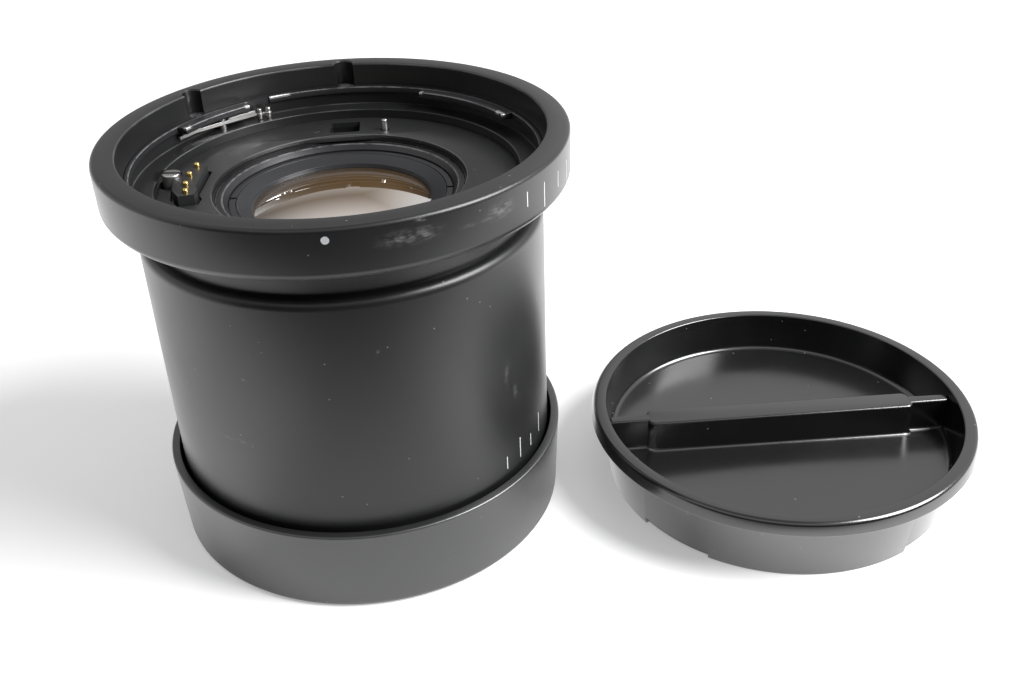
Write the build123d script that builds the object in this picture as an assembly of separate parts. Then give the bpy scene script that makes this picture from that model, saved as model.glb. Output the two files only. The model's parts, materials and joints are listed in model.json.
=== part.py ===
from build123d import *
import os
from math import cos, degrees, sin, radians, sqrt

os.makedirs("parts", exist_ok=True)

# A camera teleconverter standing on its rear cap, with its front cap lying beside it.
# Millimetres. Z is the optical axis and points to the lens side, and Z = 0 is the
# underside of the rear cap. Angles run from +X towards +Y.
# The radii follow from the front lens outwards, each by a wall, a step or a clearance.

# Main heights: the seat towards the camera, the length between the two seats, the shroud
rear_seat = 10.0
body_length = 71.0
shroud_depth = 5.0

# Fits
running_fit = 0.03
glass_fit = 0.05
loose_fit = 0.1
bayonet_clearance = 0.2
air_gap = 0.3
overrun = 1.0

# Front collar
hub_step = 1.0
hub_wall = 1.2
hub_fillet = 1.2
track_width = 4.3
track_height = 2.6
bore_step = 1.1
collar_wall = 4.6
collar_wall_height = 8.6
collar_edge_round = 0.9
collar_bore_chamfer = 0.4
collar_foot_width = 0.8
collar_foot_height = 1.1
collar_lip_rise = 1.3
scallop_radius = 2.15
recess_floor_rise = 0.5

# Bayonet, the same lugs at both ends
lug_angles = (39.3, 131.6, 219.7, 309.7)
lug_widths = (38.5, 26.5, 37.5, 37.5)
lug_reach = 2.4
ring_width = 1.6
ring_thickness = 1.4
ring_register_step = 0.6
bayonet_chamfer = 0.25
rim_notch_angle = 113.6
rim_notch_width = 7.6
rim_notch_depth = 0.4
screw_offset = 0.2
screw_angles = (85.0, 134.5, 265.0, 314.5)
screw_ear_radius = 2.0
screw_head_radius = 1.35
screw_head_height = 0.8
screw_radius = 0.8
screw_length = 3.6
screw_slot_width = 0.45
screw_slot_depth = 0.35

# Mount plate
plate_drop = 1.9
plate_thickness = 1.0
opening_margin = 0.45
plate_flat_depth = 1.3
plate_flat_angle = 86.0
window_offset = 4.7
window_angle = 85.5
window_width = 6.6
window_height = 6.0
window_corner = 0.5
window_depth = 3.0
plate_screw_offset = 3.8
plate_screw_angles = (97.5, 225.0, 315.0)
plate_screw_head = 0.75
plate_screw_radius = 0.5
plate_screw_length = 3.0

# Contact block and its sprung pins
block_offset = 4.6
block_angle = 172.7
block_half_length = 8.9
block_half_width = 2.85
block_margin = 0.15
block_window_margin = 0.7
block_height = 1.9
board_thickness = 0.8
pin_shifts = (-5.95, -1.25, 3.6, 7.3)
pin_radius = 0.6
pin_reach = 0.9
pin_tip_round = 0.48
pin_flange_radius = 0.85
pin_flange_height = 0.9
pin_guide_height = 1.0
pin_spring_radius = 0.8
pin_spring_bore = 0.5
pin_cavity_radius = 0.95
flex_width = 8.0
flex_thickness = 0.25
flex_offset = -1.2
flex_slot_margin = 0.5
pad_radius = 0.9
pad_height = 0.15
rear_block_half_length = 9.0
rear_block_half_width = 2.4
rear_block_corner = 1.2
rear_block_reach = 1.0
rear_block_flange = 1.0
rear_block_flange_height = 1.6

# Drive shaft
shaft_offset = 3.8
shaft_angle = 169.5
shaft_rim_margin = 2.3
shaft_head_radius = 1.9
shaft_head_length = 5.0
shaft_head_rise = 2.4
shaft_radius = 1.4
shaft_slot_width = 1.1
shaft_slot_depth = 1.6
shaft_recess = 3.0
shaft_wall_recess = 3.8
shaft_recess_depth = 1.9
shaft_tongue_length = 2.0
shaft_tongue_width = 1.0
shaft_tail = 1.0
bush_radius = 2.4
bush_flange_radius = 3.2
bush_flange_height = 0.8

# Push rod
rod_offset = 3.2
rod_angle = 67.3
rod_radius = 0.6
rod_rise = 2.4
rod_tail = 1.2
rod_flange_radius = 1.3
rod_flange_height = 1.0
rod_spring_length = 12.0
rod_spring_radius = 1.25
rod_spring_bore = 0.75
rod_hole_radius = 1.0

# Lock lever and its release button
lever_pivot_offset = 3.0
lever_pivot_angle = 128.0
lever_head_offset = 2.95
lever_head_angle = 125.3
lever_head_width = 1.9
lever_bend_offset = 3.7
lever_bend_angle = 138.5
lever_tail_angle = 145.0
lever_tail_width = 0.6
lever_rise = 1.1
lever_thickness = 0.8
lever_nose_offset = 2.1
lever_nose_angle = 113.3
lever_nose_height = 0.4
lever_neck_offset = 2.3
lever_neck_angles = (116.3, 126.2)
lever_neck_width = 0.5
lever_neck_rise = 0.4
pivot_radius = 0.5
pivot_head_radius = 0.8
pivot_head_height = 0.4
pivot_depth = 1.6
roller_radius = 0.55
roller_wall = 0.2
roller_gap = 0.15
roller_spacing = 2.0
button_width = 9.0
button_height = 4.4
button_corner = 1.4
button_depth = 3.0
button_stand = 0.9
button_recess_depth = 3.1
button_rise = 0.65
button_lead = 0.3
plunger_radius = 0.8
plunger_rise = 1.5

# Barrel
shoulder_width = 2.3
barrel_wall = 2.1
shoulder_round = 1.3
spigot_height = 4.5
bulkhead_height = 6.1
cell_ledge_height = 2.0
rear_flange_margin = 0.7
rear_flange_height = 3.0
barrel_edge_chamfer = 0.3

# Front lens cell, its retaining ring and the cone round the glass
cell_wall = 2.35
cell_rim_drop = 0.4
cell_rim_slope = 1.0
retainer_drop = 1.7
retainer_height = 1.5
retainer_width = 1.4
retainer_gap = 0.08
retainer_slot_width = 0.8
retainer_slot_depth = 0.7
front_slot_angles = (173.8, 353.8)
bezel_cover = 1.1
bezel_flare = 2.75
bezel_edge = 0.15
bezel_slope = 1.1
bezel_flange_height = 0.6
front_cell_length = 29.7
cell_nut_wall = 3.6
cell_nut_height = 2.0
nut_slot_width = 2.0
nut_slot_depth = 1.2
nut_slot_count = 4
nut_slot_angle = 39.7

# Glass, from the front: edge radius, edge thickness and how far each face rises at the axis
front_lens_radius = 19.2
front_lens_edge = 5.3
front_lens_rise = 2.0
front_lens_back_rise = -0.6
front_lens_ledge_height = 1.0
front_lens_ledge_width = 1.3
doublet_step = 0.4
doublet_gap = 2.2
crown_edge = 4.3
crown_rise = 1.6
cement_rise = -2.0
flint_edge = 5.0
flint_back_rise = 1.8
small_glass_step = 1.9
relay_edge = 5.5
relay_rise = 1.0
relay_back_rise = 1.4
rear_air_length = 6.0
rear_lens_edge = 4.9
rear_lens_rise = 0.9
rear_lens_back_rise = -1.6
spacer_wall = 1.0

# Rear lens cell
rear_cell_collar_width = 2.5
rear_cell_collar_height = 2.0
rear_cell_wall = 2.1
rear_cell_bore_step = 0.7
rear_cell_seat_width = 1.1
rear_cell_seat_height = 1.0
rear_cell_skirt = 1.4
rear_cell_gap = 2.0
rear_retainer_height = 1.8
rear_retainer_wall = 1.7
rear_slot_angles = (60.0, 240.0)

# Rear bayonet, its screws and the light baffle
rear_ring_inset = 0.2
throat_wall = 1.2
throat_length = 5.0
male_lug_height = 1.8
male_lug_gap = 1.9
lock_notch_angle = 122.0
lock_notch_radius = 1.6
rear_screw_offset = 1.6
rear_screw_angles = (84.7, 174.7, 264.7, 354.7)
rear_screw_head = 1.15
rear_screw_length = 4.0
baffle_rise = 1.6
baffle_thickness = 1.2
baffle_wall = 0.8
baffle_opening_margin = 0.6
baffle_step_width = 4.5
baffle_step_height = 0.6

# Rear cap, a cup with inward lugs
cap_rim_height = 18.95
cap_gap = 0.75
cap_wall = 1.85
cap_draft = 0.35
cap_foot_wall = 1.3
cap_base = 2.2
cap_foot_round = 1.5
cap_rim_round = 0.5
cap_groove_margin = 3.9
cap_groove_width = 2.5
cap_groove_depth = 0.4
cap_lug_height = 1.2
cap_floor_fillet = 1.0

# Front cap, a dish with a bar handle across it
dish_spacing = 6.9
dish_shift = -13.9
dish_height = 17.0
dish_rim_height = 3.0
dish_rim_width = 3.1
dish_rim_round = 1.2
dish_draft = 1.2
dish_floor = 9.2
dish_fillet = 2.4
dish_floor_thickness = 1.8
dish_skirt_step = 0.5
dish_skirt_draft = 1.7
dish_skirt_wall = 1.8
dish_skirt_inset = 1.3
dish_recess_count = 4
dish_recess_angle = 35.5
dish_recess_width = 25.0
dish_recess_depth = 0.9
dish_recess_height = 1.6
bar_angle = -5.7
bar_end_gap = 7.8
bar_width = 5.75
bar_corner = 1.8
bar_drop = 1.7
bar_round = 0.4
bar_foot_fillet = 2.6
bar_wall = 1.3
rib_width = 2.6

# Radii that follow from the sizes above, from the front lens outwards
bezel_bore = front_lens_radius - bezel_cover
bezel_mouth = bezel_bore + bezel_flare
bezel_rim = bezel_mouth + bezel_edge
retainer_bore = bezel_rim + loose_fit
front_lens_ledge_bore = front_lens_radius - front_lens_ledge_width
cell_pocket_radius = retainer_bore + retainer_width
cell_tube_radius = cell_pocket_radius
cell_ledge_bore = cell_tube_radius + loose_fit
cell_radius = cell_pocket_radius + cell_wall
cell_bore = cell_radius + glass_fit
cell_nut_radius = cell_tube_radius + cell_nut_wall
doublet_radius = front_lens_radius - doublet_step
small_glass_radius = doublet_radius - small_glass_step
rear_cell_radius = doublet_radius
rear_cell_collar = rear_cell_radius + rear_cell_collar_width
rear_cell_tube = small_glass_radius + rear_cell_wall
rear_cell_bore = small_glass_radius + rear_cell_bore_step
rear_cell_seat_bore = small_glass_radius - rear_cell_seat_width
plate_opening = cell_radius + opening_margin
plate_flat_distance = plate_opening - plate_flat_depth
rear_flange_bore = plate_opening + rear_flange_margin
window_circle = plate_opening + window_offset
plate_screw_circle = plate_opening + plate_screw_offset
block_circle = plate_opening + block_offset
rod_circle = plate_opening + rod_offset
shaft_circle = block_circle + shaft_offset
well_radius = shaft_circle + shaft_rim_margin
lever_pivot_circle = well_radius + lever_pivot_offset
lever_head_circle = well_radius + lever_head_offset
lever_bend_circle = well_radius + lever_bend_offset
lever_neck_circle = well_radius + lever_neck_offset
lever_nose_circle = well_radius + lever_nose_offset
hub_bore = well_radius + hub_step
hub_radius = hub_bore + hub_wall
track_radius = well_radius + track_width
collar_bore = track_radius + bore_step
collar_radius = collar_bore + collar_wall
register_radius = collar_bore - ring_register_step
gap_radius = collar_bore - ring_width
lug_tip_radius = gap_radius - lug_reach
screw_circle = collar_bore + screw_offset
button_recess_floor = collar_radius - button_recess_depth
barrel_radius = hub_radius + shoulder_width
barrel_bore = barrel_radius - barrel_wall
rear_ring_radius = barrel_radius - rear_ring_inset
throat_radius = lug_tip_radius - bayonet_clearance
throat_bore = throat_radius - throat_wall
male_lug_radius = gap_radius - bayonet_clearance
rear_screw_circle = throat_radius + rear_screw_offset
baffle_radius = throat_bore - loose_fit
baffle_opening = small_glass_radius + baffle_opening_margin
baffle_step_radius = baffle_opening + baffle_step_width
cap_bore = barrel_radius + cap_gap
cap_radius = cap_bore + cap_wall
cap_inner_foot = cap_bore - cap_draft
cap_foot_radius = cap_inner_foot + cap_foot_wall
cap_groove_radius = cap_inner_foot - cap_groove_margin
cap_lug_tip = throat_radius + air_gap
dish_skirt_foot = male_lug_radius - dish_skirt_inset
dish_skirt_radius = dish_skirt_foot + dish_skirt_draft
dish_mouth = dish_skirt_radius - dish_skirt_step
dish_floor_radius = dish_mouth - dish_draft
dish_radius = dish_mouth + dish_rim_width
dish_x = cap_radius + dish_radius + dish_spacing
bar_length = 2 * (dish_floor_radius - bar_end_gap)

# Levels that follow from the sizes above
front_seat = rear_seat + body_length
collar_top = front_seat + shroud_depth
bayonet_under = front_seat - ring_thickness
track_floor = bayonet_under - track_height
plate_top = track_floor - plate_drop
spigot_top = plate_top - plate_thickness
shoulder_level = spigot_top - spigot_height
bulkhead_under = spigot_top - bulkhead_height
cell_ledge = bulkhead_under + cell_ledge_height
barrel_foot = rear_seat + ring_thickness
rear_flange_top = barrel_foot + rear_flange_height
cell_top = spigot_top - cell_rim_drop
retainer_top = spigot_top - retainer_drop
bezel_top = retainer_top - retainer_gap
bezel_foot = retainer_top - retainer_height - bezel_flange_height
front_lens_top = bezel_foot - glass_fit
front_lens_foot = front_lens_top - front_lens_edge
front_ledge_foot = front_lens_foot - front_lens_ledge_height
crown_top = front_ledge_foot - doublet_gap
flint_top = crown_top - crown_edge
flint_foot = flint_top - flint_edge
front_cell_foot = cell_top - front_cell_length
throat_foot = rear_seat - throat_length
baffle_foot = throat_foot + baffle_rise
baffle_top = baffle_foot + baffle_thickness
rear_cell_foot = baffle_top + baffle_step_height + rear_cell_gap
rear_lens_foot = rear_cell_foot + rear_cell_skirt + rear_retainer_height
rear_lens_top = rear_lens_foot + rear_lens_edge
relay_foot = rear_lens_top + rear_air_length
small_seat = relay_foot + relay_edge
board_foot = cell_ledge
board_top = board_foot + board_thickness
block_top = plate_top + block_height
rear_block_foot = baffle_foot - rear_block_reach
rear_block_top = baffle_top + rear_block_flange_height
lever_foot = track_floor + lever_rise
lever_top = lever_foot + lever_thickness
cap_lug_top = rear_seat - air_gap


# Helpers

def turned(*points, arc=360):
    """A solid of revolution about Z through points of (radius, height)."""
    return revolve(Plane.XZ * make_face(Polyline(*points, close=True)), Axis.Z, revolution_arc=arc)


def post(radius, foot, top):
    """An upright cylinder on the Z axis."""
    return Pos(0, 0, foot) * Cylinder(radius, top - foot, align=(Align.CENTER, Align.CENTER, Align.MIN))


def ring(outer, inner, foot, top):
    return turned((inner, foot), (outer, foot), (outer, top), (inner, top))


def sector(outer, inner, foot, top, angle, width):
    """A block of a ring, centred on an angle."""
    block = turned((inner, foot), (outer, foot), (outer, top), (inner, top), arc=width)
    return Rot(0, 0, angle - width / 2) * block


def at(circle, angle):
    """A place on a circle about Z, turned with its angle so that local X points outwards."""
    return Rot(0, 0, angle) * Pos(circle, 0, 0)


def spot_at(circle, angle):
    """A place on a circle about Z, not turned."""
    return Vector(circle * cos(radians(angle)), circle * sin(radians(angle)), 0)


def box(length, width, foot, top):
    """An upright box on the Z axis, length along X."""
    return Pos(0, 0, foot) * Box(length, width, top - foot, align=(Align.CENTER, Align.CENTER, Align.MIN))


def rims(solid, radius, height):
    """The circular edges of a radius at a height."""
    near = running_fit / 4
    edges = solid.edges().filter_by(GeomType.CIRCLE)
    return edges.filter_by(lambda e: abs(e.radius - radius) < near and abs(e.arc_center.Z - height) < near)


def many(pieces):
    return Compound(children=list(pieces))


def save(name, shape):
    export_step(shape, f"parts/{name}.step")


# Front collar and bayonet ring

def scallops(radius):
    foot, top = bayonet_under, collar_top + overrun
    return [at(screw_circle, angle) * post(radius, foot, top) for angle in screw_angles]


def button_pad(grow, foot_radius, tip_radius):
    """The oblong pad of the release button, or its recess when grown."""
    height = button_height + 2 * grow
    outline = RectangleRounded(height, button_width + 2 * grow, button_corner + grow)
    level = track_floor + button_rise + button_height / 2
    pad = extrude(outline, amount=tip_radius - foot_radius)
    return Rot(0, 0, lever_tail_angle) * Pos(foot_radius, 0, level) * Rot(0, 90, 0) * pad


def radial_post(radius, inner, outer, height):
    post_along_x = Rot(0, 90, 0) * post(radius, inner, outer)
    return Rot(0, 0, lever_tail_angle) * Pos(0, 0, height) * post_along_x


def front_collar():
    wall_foot = collar_top - collar_wall_height
    foot = wall_foot - collar_foot_height
    lip = foot - collar_lip_rise
    body = turned(
        (hub_bore, shoulder_level), (hub_radius, shoulder_level), (hub_radius, lip),
        (collar_radius - collar_foot_width, foot), (collar_radius, wall_foot), (collar_radius, collar_top),
        (collar_bore, collar_top), (collar_bore, front_seat), (register_radius, front_seat),
        (register_radius, bayonet_under), (track_radius, bayonet_under),
        (track_radius, track_floor), (well_radius, track_floor), (well_radius, spigot_top),
        (hub_bore, spigot_top))
    body = fillet(rims(body, collar_radius, collar_top), collar_edge_round)
    body = fillet(rims(body, hub_radius, lip), hub_fillet)
    body = chamfer(rims(body, collar_bore, collar_top), collar_bore_chamfer)
    for cut in scallops(scallop_radius):
        body -= cut
    for angle in screw_angles:
        body -= at(screw_circle, angle) * post(screw_radius, front_seat - screw_length, front_seat)
    body -= at(shaft_circle, shaft_angle) * post(
        shaft_wall_recess, plate_top + recess_floor_rise, bayonet_under)
    body -= button_pad(loose_fit, button_recess_floor, collar_radius + overrun)
    body -= radial_post(plunger_radius + running_fit, track_radius - overrun, collar_radius,
                        track_floor + plunger_rise)
    body -= at(lever_pivot_circle, lever_pivot_angle) * post(
        pivot_radius, track_floor - pivot_depth, track_floor)
    return body


def front_bayonet():
    body = ring(register_radius - glass_fit, gap_radius, bayonet_under, front_seat)
    body -= sector(gap_radius + rim_notch_depth, gap_radius - overrun, bayonet_under, front_seat,
                   rim_notch_angle, rim_notch_width)
    for angle, width in zip(lug_angles, lug_widths):
        body += sector((gap_radius + register_radius) / 2, lug_tip_radius, bayonet_under, front_seat,
                       angle, width)
    for angle in screw_angles:
        body += at(screw_circle, angle) * post(screw_ear_radius, bayonet_under, front_seat) & ring(
            collar_radius, gap_radius, bayonet_under, front_seat)
        body -= at(screw_circle, angle) * post(screw_radius, bayonet_under, front_seat)
        body -= at(screw_circle, angle) * post(screw_head_radius, front_seat - screw_head_height, front_seat)
    return chamfer(rims(body, lug_tip_radius, front_seat), bayonet_chamfer)


def slotted_screw(head_radius, head_foot, head_top, shank_foot):
    screw = post(head_radius, head_foot, head_top) + post(screw_radius, shank_foot, head_foot)
    slot = box(2 * head_radius + overrun, screw_slot_width, head_top - screw_slot_depth, head_top + overrun)
    return screw - slot


def bayonet_screws():
    screw = slotted_screw(screw_head_radius, front_seat - screw_head_height, front_seat,
                          front_seat - screw_length)
    return many(at(screw_circle, angle) * screw for angle in screw_angles)


# Mount plate

def block_outline(grow=0):
    """The arrow-shaped contact block seen from the front, along a local Y that runs round the axis."""
    outline_shares = ((0.99, 0.19), (0.78, -0.85), (-0.45, -0.74), (-0.66, -1.0), (-0.92, -0.92),
                      (-1.0, 0.13), (-0.67, 0.73), (-0.11, 1.0), (0.54, 0.82))
    points = [(v * block_half_width, -u * block_half_length) for u, v in outline_shares]
    face = make_face(Polyline(*points, close=True))
    return offset(face, grow) if grow else face


def block_body(grow, foot, top):
    face = Pos(block_circle, 0, 0) * block_outline(grow)
    return Rot(0, 0, block_angle) * Pos(0, 0, foot) * extrude(face, amount=top - foot)


def window(foot, top):
    outline = RectangleRounded(window_height, window_width, window_corner)
    return at(window_circle, window_angle) * Pos(0, 0, foot) * extrude(outline, amount=top - foot)


def flat_side(distance, foot, top):
    """The part of space beyond a flat across the opening of the mount plate."""
    slab = box(plate_opening * 2, plate_opening * 2, foot, top)
    return Rot(0, 0, plate_flat_angle) * Pos(distance + plate_opening, 0, 0) * slab


def mount_plate():
    foot, top = spigot_top, plate_top
    body = post(well_radius - glass_fit, foot, top)
    opening = post(plate_opening, foot, top) - flat_side(plate_flat_distance, foot, top)
    body -= opening
    body -= window(foot, top)
    body -= block_body(block_window_margin, foot, top)
    body -= at(shaft_circle, shaft_angle) * post(shaft_recess, foot, top)
    body -= at(rod_circle, rod_angle) * post(rod_hole_radius, foot, top)
    for angle in plate_screw_angles:
        body -= at(plate_screw_circle, angle) * post(plate_screw_head, foot, top)
    return body


def plate_screws():
    screw = post(plate_screw_head, spigot_top, plate_top) + post(
        plate_screw_radius, plate_top - plate_screw_length, spigot_top)
    slot = box(2 * plate_screw_head + overrun, screw_slot_width, plate_top - screw_slot_depth,
               plate_top + overrun)
    return many(at(plate_screw_circle, angle) * (screw - slot) for angle in plate_screw_angles)


# Contacts

def pin_places():
    return [at(block_circle, block_angle + degrees(shift / block_circle)) for shift in pin_shifts]


def contact_block():
    body = block_body(0, board_top, block_top)
    cavity_top = block_top - pin_guide_height
    for spot in pin_places():
        body -= spot * post(pin_cavity_radius, board_top, cavity_top)
        body -= spot * post(pin_radius + glass_fit, cavity_top, block_top)
    body -= at(shaft_circle, shaft_angle) * post(shaft_head_radius + air_gap, board_top, block_top)
    return body


def contact_pin(spot):
    flange_top = block_top - pin_guide_height - glass_fit
    tip = block_top + pin_reach
    pin = post(pin_radius, flange_top, tip)
    pin += post(pin_flange_radius, flange_top - pin_flange_height, flange_top)
    return spot * fillet(rims(pin, pin_radius, tip), pin_tip_round)


def pin_spring(spot):
    top = block_top - pin_guide_height - glass_fit - pin_flange_height
    return spot * ring(pin_spring_radius, pin_spring_bore, board_top, top)


def contact_board():
    body = block_body(0, board_foot, board_top)
    return body - at(shaft_circle, shaft_angle) * post(shaft_recess, board_foot, board_top)


def flex_strip(grow, foot, top):
    strip = box(flex_thickness + 2 * grow, flex_width + 2 * grow, foot, top)
    return at(block_circle + flex_offset, block_angle) * strip


def contact_flex():
    return flex_strip(0, rear_block_top, board_foot)


def rear_block(grow, foot, top):
    size_x, size_y = 2 * (rear_block_half_width + grow), 2 * (rear_block_half_length + grow)
    outline = RectangleRounded(size_x, size_y, rear_block_corner + grow)
    return at(block_circle, block_angle) * Pos(0, 0, foot) * extrude(outline, amount=top - foot)


def rear_contacts():
    body = rear_block(0, rear_block_foot, baffle_top)
    body += rear_block(rear_block_flange, baffle_top, rear_block_top)
    return body - at(shaft_circle, shaft_angle) * post(
        shaft_head_radius + air_gap, rear_block_foot, rear_block_top)


def contact_pads():
    pad = post(pad_radius, rear_block_foot - pad_height, rear_block_foot)
    return many(spot * pad for spot in pin_places())


# Drive shaft and push rod

def drive_shaft():
    top = plate_top + shaft_head_rise
    tip = throat_foot + shaft_tail
    head_foot = top - shaft_head_length
    body = post(shaft_head_radius, head_foot, top) + post(shaft_radius, tip, head_foot)
    body -= box(2 * shaft_head_radius + overrun, shaft_slot_width, top - shaft_slot_depth, top)
    tongue = box(shaft_tongue_width, 2 * shaft_radius + overrun, tip, tip + shaft_tongue_length)
    body -= post(shaft_radius, tip, tip + shaft_tongue_length) - tongue
    return at(shaft_circle, shaft_angle) * body


def shaft_bush():
    bore = shaft_radius + running_fit
    body = ring(bush_radius, bore, barrel_foot, rear_flange_top) + ring(
        bush_flange_radius, bore, rear_flange_top, rear_flange_top + bush_flange_height)
    return at(shaft_circle, shaft_angle) * body


def push_rod():
    tip, top = throat_foot + rod_tail, plate_top + rod_rise
    flange_top = bulkhead_under - rod_spring_length
    body = post(rod_radius, tip, top) + post(rod_flange_radius, flange_top - rod_flange_height, flange_top)
    body = fillet(rims(body, rod_radius, top) + rims(body, rod_radius, tip), rod_radius / 2)
    return at(rod_circle, rod_angle) * body


def rod_spring():
    body = ring(rod_spring_radius, rod_spring_bore, bulkhead_under - rod_spring_length, bulkhead_under)
    return at(rod_circle, rod_angle) * body


# Lock lever, its pivot, its rollers and the button that swings it

def roller_places():
    nose = spot_at(lever_nose_circle, lever_nose_angle)
    along = (nose - spot_at(lever_neck_circle, lever_neck_angles[0])).normalized()
    return [nose + along * (side * roller_spacing / 2) for side in (-1, 1)]


def tapered_bar(start, end, start_width, end_width, foot, top):
    along = (end - start).normalized()
    across = Vector(-along.Y, along.X, 0)
    corners = [start + across * (start_width / 2), end + across * (end_width / 2),
               end - across * (end_width / 2), start - across * (start_width / 2)]
    face = make_face(Polyline(*[(c.X, c.Y) for c in corners], close=True))
    return Pos(0, 0, foot) * extrude(face, amount=top - foot)


def lock_lever():
    """A flat blade that widens towards its pivot, a tail to the button and a neck to the rollers."""
    tail = spot_at(lever_bend_circle, lever_tail_angle)
    bend = spot_at(lever_bend_circle, lever_bend_angle)
    head = spot_at(lever_head_circle, lever_head_angle)
    neck_end, neck_start = [spot_at(lever_neck_circle, angle) for angle in lever_neck_angles]
    first, last = roller_places()
    nose_top = lever_foot + lever_nose_height
    body = tapered_bar(bend, head, lever_tail_width, lever_head_width, lever_foot, lever_top)
    body += Pos(bend.X, bend.Y, 0) * post(lever_tail_width / 2, lever_foot, lever_top)
    body += tapered_bar(tail, bend, lever_tail_width, lever_tail_width, lever_foot, lever_top)
    body += tapered_bar(neck_start, neck_end, lever_neck_width, lever_neck_width,
                        lever_foot, lever_top + lever_neck_rise)
    body += tapered_bar(neck_end, last, lever_neck_width, lever_neck_width, lever_foot, nose_top)
    for spot in (first, last):
        body += Pos(spot.X, spot.Y, 0) * post(roller_radius + roller_wall, lever_foot, nose_top)
        body -= Pos(spot.X, spot.Y, 0) * post(roller_radius, lever_foot, lever_top + lever_neck_rise)
    return body - at(lever_pivot_circle, lever_pivot_angle) * post(
        pivot_radius + running_fit, lever_foot, lever_top)


def lever_rollers():
    roller = post(roller_radius, track_floor + roller_gap, bayonet_under - roller_gap)
    return many(Pos(spot.X, spot.Y, 0) * roller for spot in roller_places())


def lever_pivot():
    head_foot = lever_top + glass_fit
    pin = post(pivot_radius, track_floor - pivot_depth, head_foot)
    pin += post(pivot_head_radius, track_floor, lever_foot - glass_fit)
    pin += post(pivot_head_radius, head_foot, head_foot + pivot_head_height)
    return at(lever_pivot_circle, lever_pivot_angle) * pin


def release_button():
    tip = collar_radius + button_stand
    pad = button_pad(0, tip - button_depth, tip)
    pad = fillet(pad.faces().sort_by_distance((0, 0, front_seat))[-1].edges(), button_stand / 2)
    plunger_tip = lever_bend_circle + lever_tail_width / 2 + button_lead
    return pad + radial_post(plunger_radius, plunger_tip, tip - button_depth, track_floor + plunger_rise)


# Barrel

def barrel_shell():
    spigot = hub_bore - running_fit
    body = turned(
        (cell_ledge_bore, bulkhead_under), (cell_ledge_bore, cell_ledge), (cell_bore, cell_ledge),
        (cell_bore, spigot_top), (spigot, spigot_top), (spigot, shoulder_level),
        (barrel_radius, shoulder_level), (barrel_radius, barrel_foot), (rear_flange_bore, barrel_foot),
        (rear_flange_bore, rear_flange_top), (barrel_bore, rear_flange_top), (barrel_bore, bulkhead_under))
    body = fillet(rims(body, barrel_radius, shoulder_level), shoulder_round)
    body = chamfer(rims(body, barrel_radius, barrel_foot), barrel_edge_chamfer)
    body -= block_body(block_margin, board_foot, spigot_top)
    body -= window(spigot_top - window_depth, spigot_top)
    body -= flex_strip(flex_slot_margin, barrel_foot, spigot_top)
    recess_foot = spigot_top - shaft_recess_depth
    body -= at(shaft_circle, shaft_angle) * post(shaft_recess, recess_foot, spigot_top)
    head_foot = plate_top + shaft_head_rise - shaft_head_length
    body -= at(shaft_circle, shaft_angle) * post(shaft_head_radius + loose_fit, head_foot, spigot_top)
    body -= at(shaft_circle, shaft_angle) * post(shaft_radius + running_fit, bulkhead_under, spigot_top)
    body -= at(shaft_circle, shaft_angle) * post(bush_radius, barrel_foot, rear_flange_top)
    body -= at(rod_circle, rod_angle) * post(rod_radius + running_fit, barrel_foot, spigot_top)
    for angle in plate_screw_angles:
        body -= at(plate_screw_circle, angle) * post(
            plate_screw_radius, plate_top - plate_screw_length, spigot_top)
    for spot in rear_screw_places():
        body -= spot * post(screw_radius, rear_seat, rear_seat + rear_screw_length)
    return body


# Lens cells, rings and glass

def sphere_height(radius, rise, at_radius):
    """How far a spherical face stands above its edge at a radius."""
    ball = (radius ** 2 + rise ** 2) / (2 * abs(rise))
    height = sqrt(ball ** 2 - at_radius ** 2) - (ball - abs(rise))
    return height if rise > 0 else -height


def polished(radius, level, rise):
    """The half outline of a spherical face that stands on a flat at a level, from its edge to the axis."""
    half = radius / 2
    middle = level + sphere_height(radius, rise, half)
    return ThreePointArc((radius, level), (half, middle), (0, level + rise))


def element(radius, top_radius, foot_radius, top, foot, top_rise, foot_rise):
    """A lens element with a flat land round each polished face, where the rings bear on it."""
    outline = [Line((radius, foot), (radius, top)), polished(top_radius, top, top_rise),
               Line((0, top + top_rise), (0, foot + foot_rise)), polished(foot_radius, foot, foot_rise)]
    if radius > top_radius:
        outline.append(Line((radius, top), (top_radius, top)))
    if radius > foot_radius:
        outline.append(Line((radius, foot), (foot_radius, foot)))
    return revolve(Plane.XZ * make_face(outline), Axis.Z)


def front_lens():
    return element(front_lens_radius, bezel_bore - glass_fit, front_lens_ledge_bore - glass_fit,
                   front_lens_top, front_lens_foot, front_lens_rise, front_lens_back_rise)


def doublet_crown():
    return element(doublet_radius, doublet_radius - spacer_wall - glass_fit, doublet_radius,
                   crown_top, flint_top, crown_rise, cement_rise)


def doublet_flint():
    return element(doublet_radius, doublet_radius, rear_cell_bore, flint_top, flint_foot,
                   cement_rise, flint_back_rise)


def relay_lens():
    return element(small_glass_radius, rear_cell_seat_bore - glass_fit, small_glass_radius - spacer_wall,
                   small_seat, relay_foot, relay_rise, relay_back_rise)


def rear_lens():
    return element(small_glass_radius, small_glass_radius - spacer_wall - glass_fit,
                   small_glass_radius - rear_retainer_wall - glass_fit,
                   rear_lens_top, rear_lens_foot, rear_lens_rise, rear_lens_back_rise)


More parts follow.
